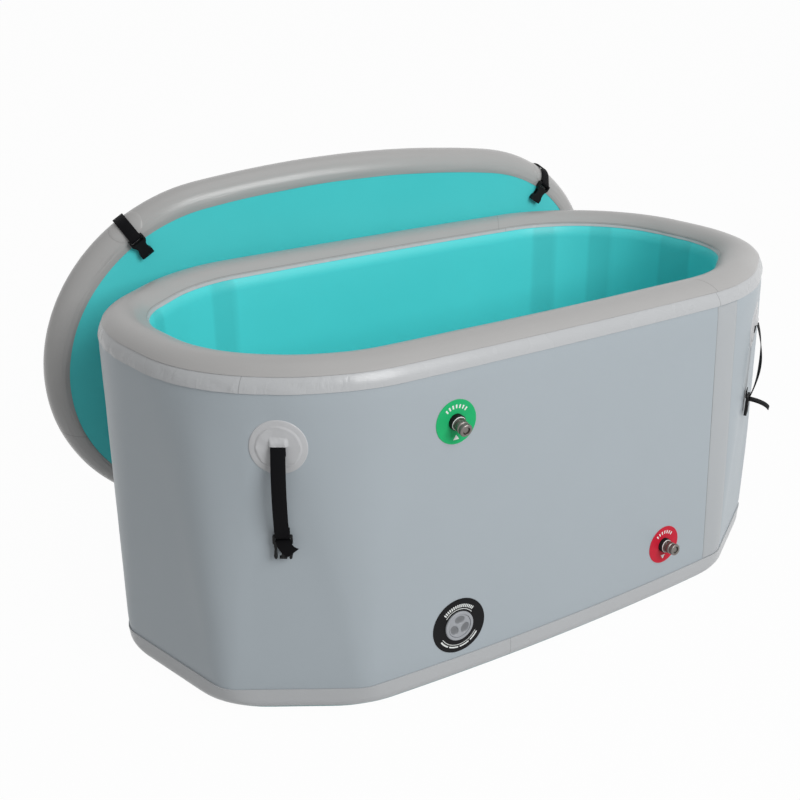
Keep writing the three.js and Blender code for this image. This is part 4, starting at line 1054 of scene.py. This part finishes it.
def add_water_fitting(name, label, slot):
    axis = -Vector(joints[f"{name}_poppet_push"]["axis"])
    seal_low, seal_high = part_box(f"{name}_seal_ring")
    nose = axis_frame((seal_low + seal_high) / 2 - axis * (clearance + seal_thickness / 2), axis)
    disc_low, disc_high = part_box(f"{name}_label_disc")
    disc_middle = (disc_low + disc_high) / 2
    seat = wall_seat((disc_middle.x, 0), (0, -1), disc_middle.z)
    add_label(f"{name}_label", seat, bushing_radius + clearance, water_label_radius, label, slot, f"{name}_label_disc")

    nut_low, nut_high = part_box(f"{name}_flange_nut")
    nut_middle = (nut_low + nut_high) / 2
    inside = (nut_middle - seat.translation).dot(seat.col[2].to_3d())
    inside += (flange_nut_thickness + flange_nut_hub) / 2
    slope = axis.dot(seat.col[1].to_3d()) / axis.dot(seat.col[2].to_3d())
    rings = []
    for radius, height, slanted in (
        (bushing_bore, inside - bushing_inside, False),
        (bushing_radius, inside - bushing_inside, False),
        (bushing_radius, bushing_collar - 0.0008, True),
        (bushing_radius - 0.0003, bushing_collar - 0.0002, True),
        (bushing_radius - 0.0010, bushing_collar, True),
        (bushing_bore, bushing_collar, True),
    ):
        ring = []
        for i in range(round_steps):
            angle = 2 * math.pi * i / round_steps
            spot = Vector((radius * math.cos(angle), radius * math.sin(angle), height))
            spot.z -= slope * spot.y if slanted else 0
            ring.append(seat @ spot)
        rings.append(ring)
    bushing = lofted(f"{name}_wall_bushing", rings, joined=True)
    add_piece(f"{name}_wall_bushing", bushing, "tub", black_plastic, "black_plastic", [f"{name}_bushing"])

    nut_top = inside
    nut = turned(f"{name}_inner_nut", [
        (bushing_radius + clearance, nut_top),
        (flange_nut_radius, nut_top),
        (flange_nut_radius, nut_top - flange_nut_thickness + 0.002),
        (flange_nut_radius - 0.002, nut_top - flange_nut_thickness),
        (flange_nut_hub_radius, nut_top - flange_nut_thickness),
        (flange_nut_hub_radius, nut_top - flange_nut_thickness - flange_nut_hub),
        (bushing_radius + clearance, nut_top - flange_nut_thickness - flange_nut_hub),
    ], seat)
    add_piece(f"{name}_inner_nut", nut, "tub", black_plastic, "black_plastic", [f"{name}_flange_nut"])

    seal = turned(f"{name}_seal", [
        (seal_bore, clearance),
        (nipple_shoulder, clearance),
        (nipple_shoulder + seal_bulge, clearance + seal_thickness * 0.3),
        (nipple_shoulder + seal_bulge, clearance + seal_thickness * 0.7),
        (nipple_shoulder, clearance + seal_thickness),
        (seal_bore, clearance + seal_thickness),
    ], nose)
    add_piece(f"{name}_seal", seal, "tub", seal_rubber, "seal_rubber", [f"{name}_seal_ring"])

    foot = seal_thickness + 2 * clearance
    neck = foot + nipple_shoulder_height
    mouth_floor = nipple_length - nipple_mouth_depth
    ball = neck + nipple_groove_width + (nipple_length - neck - nipple_groove_width) * 0.4
    nipple = turned(f"{name}_hose_nipple", [
        (0.0026, -nipple_tail),
        (nipple_tail_radius, -nipple_tail),
        (nipple_tail_radius, foot),
        (nipple_shoulder, foot),
        (nipple_shoulder, neck),
        (nipple_groove, neck),
        (nipple_groove, neck + nipple_groove_width),
        (nipple_radius, neck + nipple_groove_width),
        (nipple_radius, ball),
        (nipple_groove, ball + 0.001),
        (nipple_groove, ball + 0.001 + nipple_groove_width),
        (nipple_radius, ball + 0.002 + nipple_groove_width),
        (nipple_radius, nipple_length - 0.0012),
        (nipple_radius - 0.0012, nipple_length),
        (nipple_mouth, nipple_length),
        (nipple_mouth, mouth_floor),
        (0.0026, mouth_floor),
    ], nose, 0.0003)
    add_piece(f"{name}_hose_nipple", nipple, "tub", nipple_metal, "nipple_metal", [f"{name}_nipple"])

    head_top = nipple_length - poppet_sink
    head_bottom = head_top - poppet_head_height
    poppet = turned(f"{name}_mouth_poppet", [
        (0, mouth_floor - poppet_travel),
        (poppet_stem_radius, mouth_floor - poppet_travel),
        (poppet_stem_radius, head_bottom),
        (nipple_mouth - clearance, head_bottom),
        (nipple_mouth - clearance, head_top - 0.001),
        (nipple_mouth - clearance - 0.0025, head_top),
        (0, head_top),
    ], nose, 0.0003)
    add_piece(f"{name}_mouth_poppet", poppet, f"{name}_poppet", nipple_metal, "nipple_metal", [f"{name}_poppet"])
    add_spring(
        f"{name}_spring", nose, (poppet_stem_radius + nipple_mouth) / 2,
        mouth_floor + clearance, head_bottom - clearance, "tub")


tick_marks = [(0.0250, 0.0320, angle, angle + 6) for angle in range(44, 136, 14)]
inlet_label = label_material("inlet_label_print", paint(36, 178, 110), tick_marks, (-0.024, -0.033, 0.006))
outlet_label = label_material("outlet_label_print", paint(198, 34, 56), tick_marks, (-0.033, -0.024, 0.006))
add_water_fitting("inlet", inlet_label, "green_label")
add_water_fitting("outlet", outlet_label, "red_label")

# Lid panel: an oval air panel closed by a round rail tape, with a teal inner face and a grey outer face.
# It stands on its edge behind the tub and leans on the rim.
lid_half_length = 0.706
lid_half_width = 0.426
lid_end_radius = 0.404
lid_thickness = 0.080
lid_rail_reach = 0.0425
lid_lean = math.radians(9.5)
lid_yaw = math.radians(-3.4)
lid_points = 300
rail_low, rail_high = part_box("lid_rail_tape")
lid_turn = Matrix.Rotation(lid_yaw, 3, "Z") @ Matrix((
    (1, 0, 0),
    (0, -math.sin(lid_lean), -math.cos(lid_lean)),
    (0, math.cos(lid_lean), -math.sin(lid_lean)),
))
lid_frame = Matrix.Translation((rail_low + rail_high) / 2) @ lid_turn.to_4x4()


def lid_outline(inset, depth):
    """Outline of the lid, moved inwards: two end arcs and two flatter side arcs that meet smoothly."""
    length = lid_half_length - inset
    width = lid_half_width - inset
    radius = lid_end_radius - inset
    end_centre = length - radius
    side_radius = (end_centre**2 + width**2 - radius**2) / (2 * (width - radius))
    side_centre = side_radius - width
    meet = math.atan2(side_centre, end_centre)
    half = []
    for step in range(60):
        angle = -meet + 2 * meet * step / 60
        half.append(Vector((end_centre + radius * math.cos(angle), radius * math.sin(angle))))
    for step in range(30):
        angle = meet + (math.pi - 2 * meet) * step / 30
        half.append(Vector((side_radius * math.cos(angle), side_radius * math.sin(angle) - side_centre)))
    spaced = evenly_spaced(half + [-point for point in half], lid_points)
    return [lid_frame @ Vector((point.x, point.y, depth)) for point in spaced]


def rail_section(radius, start, end, steps):
    rings = []
    for step in range(steps + 1):
        angle = math.radians(start + (end - start) * step / steps)
        rings.append(lid_outline(lid_thickness / 2 - radius * math.cos(angle), radius * math.sin(angle)))
    return rings


rail_radius = lid_thickness / 2 + tape_proud
rail_edge = lid_rail_reach - clearance
rail_steps = 32
rail_crease_depth = 0.0006
rail_rings = [lid_outline(rail_edge, -rail_radius)]
rail_rings += rail_section(rail_radius, -90, 90, rail_steps)
rail_rings += [lid_outline(rail_edge, rail_radius), lid_outline(rail_edge, rail_radius - 0.002)]
rail_rings += rail_section(rail_radius - 0.002, 90, -90, 12)
rail_rings += [lid_outline(rail_edge, 0.002 - rail_radius)]
rail_mesh = lofted("lid_rail_cloth", rail_rings, joined=True)


def rail_crease(spot, ring):
    """Long shallow creases beside the glued edges of the rail tape, and a soft swell."""
    if ring > rail_steps + 2:
        return 0
    near_edge = smooth_step(0.62, 0.9, abs(2 * ring / (rail_steps + 2) - 1))
    crease = noise.noise(Vector((spot.x * 9, spot.z * 9, ring * 0.6)))
    swell = noise.noise(Vector((spot.x, spot.z, ring / 60)) / swell_pitch)
    return rail_crease_depth * near_edge * crease + swell_depth * swell


ripple(rail_mesh, lid_points, rail_crease)
rail_finish = tape_material("lid_rail_cloth", cap_colour, joints_round=(0.9, 2.4), gloss=0.24)
add_creases(rail_finish, 0.016, {"Along": 0.12, "Across": 0.010, "Edge": 0.116, "Reach": 0.026, "Bend": 0.30})
add_piece("lid_rail_cloth", rail_mesh, "lid", rail_finish, "tape_cloth", ["lid_rail_tape"])
face_steps = 11
face_reach = 0.25
for side, name, finish, slot, node in (
    (1, "lid_inner_cloth", teal_cloth, "teal_cloth", "lid_inner_skin"),
    (-1, "lid_outer_cloth", wall_grey, "wall_cloth", "lid_outer_skin"),
):
    face_rings = [lid_outline(lid_rail_reach, side * (lid_thickness / 2 - wall_skin))]
    for step in range(face_steps + 1):
        face_rings.append(lid_outline(lid_rail_reach + face_reach * step / face_steps, side * lid_thickness / 2))
    add_piece(name, lofted(name, face_rings, capped=(0, -1)), "lid", finish, slot, [node])

# Straps: black webbing sewn round a bar at a glued round patch, with one half of a side-release buckle at
# its end. The tub's four hang on the diagonal facets, the lid's four run round its rail.
webbing_width = 0.025
webbing_thickness = 0.0014
webbing_tail = 0.014
loop_bar_radius = 0.0015
patch_radius = 0.049
patch_thickness = 0.0015
patch_cover_radius = 0.038
patch_cover_thickness = 0.0012
patch_loop_height = 0.022
patch_loop_half = 0.0175
tub_strap_hang = 0.160
tub_strap_bow = 0.022
tub_buckle_off_wall = 0.009
strap_twists = {"front_left": 0, "front_right": 16, "rear_left": 6, "rear_right": -6}
loose_ends = {
    "front_left": (40, 0.030, 0.016),
    "front_right": (0, 0.022, 0.046),
    "rear_left": (-15, 0.034, 0.012),
    "rear_right": (12, 0.036, 0.010),
}
buckle_bar_half = 0.002
buckle_bar_half_thickness = 0.0025
buckle_slot = 0.007
buckle_bar_reach = math.hypot(buckle_bar_half, buckle_bar_half_thickness)
buckle_hook = buckle_bar_reach + clearance + webbing_thickness / 2
loop_hook = loop_bar_radius + clearance + webbing_thickness / 2
patch_top = clearance + patch_thickness + patch_cover_thickness
tub_bar_height = patch_top + clearance + webbing_thickness + clearance + loop_bar_radius

# Webbing effect: close cross ribs with a faint lengthwise thread, dusty black.
webbing_weave, enter, leave = new_group("webbing_weave", {
    "Color": ("Color", (0.01, 0.01, 0.01, 1)),
    "Rib": ("Float", 0.0011),
    "Gloss": ("Float", 0.6),
}, {"Color": ("Color", None), "Roughness": ("Float", None), "Height": ("Float", None)})
place = webbing_weave.nodes.new("ShaderNodeTexCoord")
split = webbing_weave.nodes.new("ShaderNodeSeparateXYZ")
webbing_weave.links.new(place.outputs["UV"], split.inputs[0])
pitch = maths(webbing_weave, "DIVIDE", math.pi, enter["Rib"])
ribs = [
    maths(webbing_weave, "ABSOLUTE", maths(
        webbing_weave, "SINE", maths(webbing_weave, "MULTIPLY", split.outputs[way], pitch)))
    for way in ("X", "Y")
]
rib = maths(webbing_weave, "MULTIPLY_ADD", ribs[0], 0.35, ribs[1])
dust = noise_value(webbing_weave, place.outputs["Object"], 120)
tone = maths(webbing_weave, "MULTIPLY_ADD", dust, 0.5, maths(webbing_weave, "MULTIPLY_ADD", rib, 0.35, 0.7))
webbing_weave.links.new(scaled_colour(webbing_weave, enter["Color"], tone), leave["Color"])
webbing_weave.links.new(maths(webbing_weave, "MULTIPLY_ADD", dust, 0.2, enter["Gloss"]), leave["Roughness"])
webbing_weave.links.new(rib, leave["Height"])
black_webbing = grouped_material(
    "black_webbing", webbing_weave, {"Color": paint(14, 14, 16)}, 0.5, 0.0003, specular=0.06)


def arc_path(centre, radius, start, end, steps):
    """Points of an arc in the strap's plane, as (up, out) pairs; angles in degrees."""
    points = []
    for step in range(steps + 1):
        angle = math.radians(start + (end - start) * step / steps)
        points.append(Vector((centre[0] + radius * math.cos(angle), centre[1] + radius * math.sin(angle))))
    return points


def bent_path(start, first, second, end, steps):
    """Points of a cubic curve in the strap's plane."""
    points = []
    for step in range(steps + 1):
        t = step / steps
        weights = ((1 - t) ** 3, 3 * t * (1 - t) ** 2, 3 * t * t * (1 - t), t**3)
        points.append(sum((Vector(p) * w for p, w in zip((start, first, second, end), weights)), Vector((0, 0))))
    return points


def webbing_mesh(name, path, seat, twist=0, swerve=0):
    """Flat webbing along a path in the seat's plane, twisted halfway and swerving to the side, in degrees."""
    half = webbing_width / 2
    thick = webbing_thickness / 2
    top = [(-half, 0), (-half + 0.3 * thick, 0.7 * thick), (-half + thick, thick), (0, thick)]
    top += [(-x, n) for x, n in reversed(top[:-1])]
    section = top + [(x, -n) for x, n in reversed(top[1:-1])]
    rings = []
    passed = [0]
    for start, end in zip(path, path[1:]):
        passed.append(passed[-1] + (end - start).length)
    for i, spot in enumerate(path):
        heading = (path[min(i + 1, len(path) - 1)] - path[max(i - 1, 0)]).normalized()
        normal = Vector((-heading.y, heading.x))
        share = passed[i] / passed[-1]
        turn = math.radians(twist) * math.sin(math.pi * share) ** 4
        place = seat @ Matrix.Rotation(math.radians(swerve) * share, 4, "Z")
        ring = []
        for x, n in section:
            up, out = spot + normal * (n * math.cos(turn) + x * math.sin(turn))
            ring.append(place @ Vector((x * math.cos(turn) - n * math.sin(turn), up, out)))
        rings.append(ring)
    return lofted(name, rings, capped=(0, -1))


def joined_mesh(name, meshes):
    """One mesh from several, in the same place."""
    work = bmesh.new()
    for mesh in meshes:
        work.from_mesh(mesh)
    joined = bpy.data.meshes.new(name)
    work.to_mesh(joined)
    work.free()
    return joined


def soft_edges(node, material):
    """Keeps a CAD node as it is, with its sharp edges eased and its flat faces whole."""
    finish_node(node, material)
    flat = nodes[node].modifiers.new("whole_faces", "DECIMATE")
    flat.decimate_type = "DISSOLVE"
    flat.angle_limit = math.radians(1)
    ease = nodes[node].modifiers.new("eased_edges", "BEVEL")
    ease.width = 0.0006
    ease.segments = 2
    ease.limit_method = "ANGLE"
    ease.angle_limit = math.radians(30)


def patch_mesh(name, seat, surface_spot):
    """Round glued patch: a base disc and a smaller cover disc with a soft raised edge."""
    rings = []
    steps = [(patch_radius, 0), (patch_radius - 0.0006, patch_thickness * 0.8), (patch_radius - 0.0016, patch_thickness)]
    steps += [(patch_cover_radius + 0.002, patch_thickness), (patch_cover_radius, patch_thickness + 0.0002)]
    steps += [(patch_cover_radius - 0.0012, patch_top + 0.0003), (patch_cover_radius - 0.004, patch_top)]
    steps += [(patch_cover_radius * share, patch_top) for share in (0.75, 0.55, 0.35, 0.15)]
    for radius, lift in steps:
        ring = []
        for i in range(round_steps):
            angle = 2 * math.pi * i / round_steps
            spot = Vector((radius * math.cos(angle), radius * math.sin(angle), 0))
            crumple = noise.noise(Vector((spot.x * 70, spot.y * 70, seat.translation.x * 5)))
            ring.append(surface_spot(seat, spot.x, spot.y, lift * (1 + 0.25 * crumple * (lift > patch_thickness))))
        rings.append(ring)
    return lofted(name, rings, capped=(-1,))


def tunnel_mesh(name, seat, surface_spot, mouth, back, height):
    """The raised part of the cover that the webbing comes out of, open at its lower edge."""
    def spot(column, row):
        across = patch_loop_half * (2 * column - 1)
        up = mouth + (back - mouth) * row
        side = 1 - smooth_step(0.68, 1.0, abs(2 * column - 1))
        rise = height * side * (1 - smooth_step(0.25, 1.0, row))
        pucker = 0.0006 * noise.noise(Vector((across * 180, up * 180, seat.translation.y * 5)))
        return surface_spot(seat, across, up, patch_top - 0.0002 + rise + pucker * side)
    return grid_mesh(name, 24, 14, spot)


patch_finish = tape_material("patch_cloth", paint(190, 191, 193), gloss=0.3)
for corner in ("front_left", "front_right", "rear_left", "rear_right"):
    swing = joints[f"tub_strap_{corner}_swing"]
    right = -Vector(swing["axis"])
    bar = Vector(swing["pos_m"])
    hang = Vector(joints[f"tub_buckle_{corner}_swivel"]["pos_m"]) - bar
    step_out = tub_buckle_off_wall - tub_bar_height
    upward = -(tub_strap_hang * hang + step_out * right.cross(hang)).normalized()
    outward = right.cross(upward)
    seat = Matrix((right, upward, outward)).transposed().to_4x4()
    seat.translation = bar - outward * tub_bar_height
    name = f"tub_strap_{corner}"
    disc = patch_mesh(f"{name}_disc", seat, onto_wall)
    tunnel = tunnel_mesh(
        f"{name}_tunnel", seat, onto_wall, 0.0035, patch_loop_height, tub_bar_height + loop_bar_radius - patch_top)
    patch = joined_mesh(f"{name}_cloth_patch", [disc, tunnel])
    add_piece(f"{name}_cloth_patch", patch, "tub", patch_finish, "tape_cloth", [f"{name}_patch"], sharp=60)
    hook = arc_path((0, tub_bar_height), loop_hook, -90, 90, 10)
    low_hook = arc_path((-tub_strap_hang, tub_buckle_off_wall), buckle_hook, 90, 270, 10)
    fall = tub_strap_hang / 3
    bend = bent_path(
        hook[-1], (-fall, tub_bar_height + tub_strap_bow), (-2 * fall, tub_bar_height + tub_strap_bow), low_hook[0], 24)
    path = [Vector((-webbing_tail, tub_bar_height - loop_hook))] + hook + bend[1:-1] + low_hook
    path += [Vector((webbing_tail - tub_strap_hang, tub_buckle_off_wall - buckle_hook))]
    strap = webbing_mesh(f"{name}_hanging_webbing", path, seat, strap_twists[corner])
    add_piece(f"{name}_hanging_webbing", strap, name, black_webbing, "webbing", [f"{name}_webbing"], sharp=70)
    swerve, drop, off = loose_ends[corner]
    end_seat = seat @ Matrix.Translation((0, -tub_strap_hang, tub_buckle_off_wall))
    slot_gap = (buckle_hook + webbing_thickness / 2 + buckle_bar_half + buckle_slot) / 2
    end_path = bent_path(
        (-slot_gap, -buckle_bar_half_thickness), (-slot_gap, 0.4 * off), (-0.6 * drop, 0.9 * off), (-drop, off), 14)
    loose_end = webbing_mesh(f"{name}_loose_end", end_path, end_seat, swerve=swerve)
    add_piece(f"{name}_loose_end", loose_end, f"tub_buckle_{corner}", black_webbing, "webbing", sharp=70)
    soft_edges(f"{name}_buckle", black_plastic)

# Lid straps: the webbing hooks on a patch on the lid's outer face, runs round the rail and ends
# in the socket half of the buckle over the teal face.
lid_loop_inset = 0.050
lid_patch_radius = 0.038
lid_patch_back = 0.036
lid_strap_lift = 0.0042
lid_buckle_inset = 0.028
lid_buckle_off_face = 0.007
lid_bar_height = clearance + patch_thickness + clearance + webbing_thickness + clearance + loop_bar_radius
lid_buckle_at = (lid_loop_inset - lid_buckle_inset, -lid_thickness - lid_buckle_off_face)
rail_middle = (lid_loop_inset - lid_thickness / 2, -lid_thickness / 2)
rail_pad_radius = 0.037
rail_pad_middle = math.radians(28)
rail_pad_section = [(1, 0), (0.985, 0.0005), (0.96, 0.0008), (0.8, 0.0007), (0.6, 0.0007), (0.3, 0.0007)]
rail_surface = BVHTree.FromPolygons(
    [vertex.co for vertex in rail_mesh.vertices], [face.vertices for face in rail_mesh.polygons])


def rail_pad_mesh(name, seat):
    """A thin round pad glued over the crest of the rail, under the webbing."""
    rings = []
    for share, lift in rail_pad_section:
        ring = []
        for i in range(round_steps):
            turn = 2 * math.pi * i / round_steps
            reach = rail_pad_radius * share
            angle = rail_pad_middle + reach * math.sin(turn) / rail_radius
            way = seat.to_3x3() @ Vector((0, math.cos(angle), -math.sin(angle)))
            start = seat @ Vector((reach * math.cos(turn), *rail_middle)) + way * lid_thickness
            ring.append(rail_surface.ray_cast(start, -way)[0] + way * lift)
        rings.append(ring)
    return lofted(name, rings, capped=(-1,))


for corner in ("upper_left", "upper_right", "lower_left", "lower_right"):
    swing = joints[f"lid_strap_{corner}_swing"]
    right = Vector(swing["axis"])
    outward = -lid_frame.col[2].to_3d()
    seat = Matrix((right, outward.cross(right), outward)).transposed().to_4x4()
    seat.translation = Vector(swing["pos_m"]) - outward * lid_bar_height
    name = f"lid_strap_{corner}"
    hook = arc_path((0, lid_bar_height), loop_hook, 270, 90, 10)
    wrap = arc_path(rail_middle, rail_radius + lid_strap_lift, 80, -48, 24)
    last_hook = arc_path(lid_buckle_at, buckle_hook, 315, 90, 10)
    path = [Vector((webbing_tail - 0.003, lid_bar_height - loop_hook))] + hook
    path += [Vector((loop_hook + 0.001, lid_bar_height + loop_hook - 0.0003))] + wrap + last_hook
    path += [Vector((lid_buckle_at[0] + buckle_hook + 0.002, lid_buckle_at[1] + buckle_hook + 0.0005))]
    add_piece(f"{name}_rail_pad", rail_pad_mesh(f"{name}_rail_pad", seat), "lid", rail_finish, "tape_cloth")
    strap = webbing_mesh(f"{name}_rail_webbing", path, seat)
    add_piece(f"{name}_rail_webbing", strap, name, black_webbing, "webbing", [f"{name}_webbing"], sharp=70)
    soft_edges(f"{name}_buckle", black_plastic)
    soft_edges(f"{name}_patch", patch_finish)
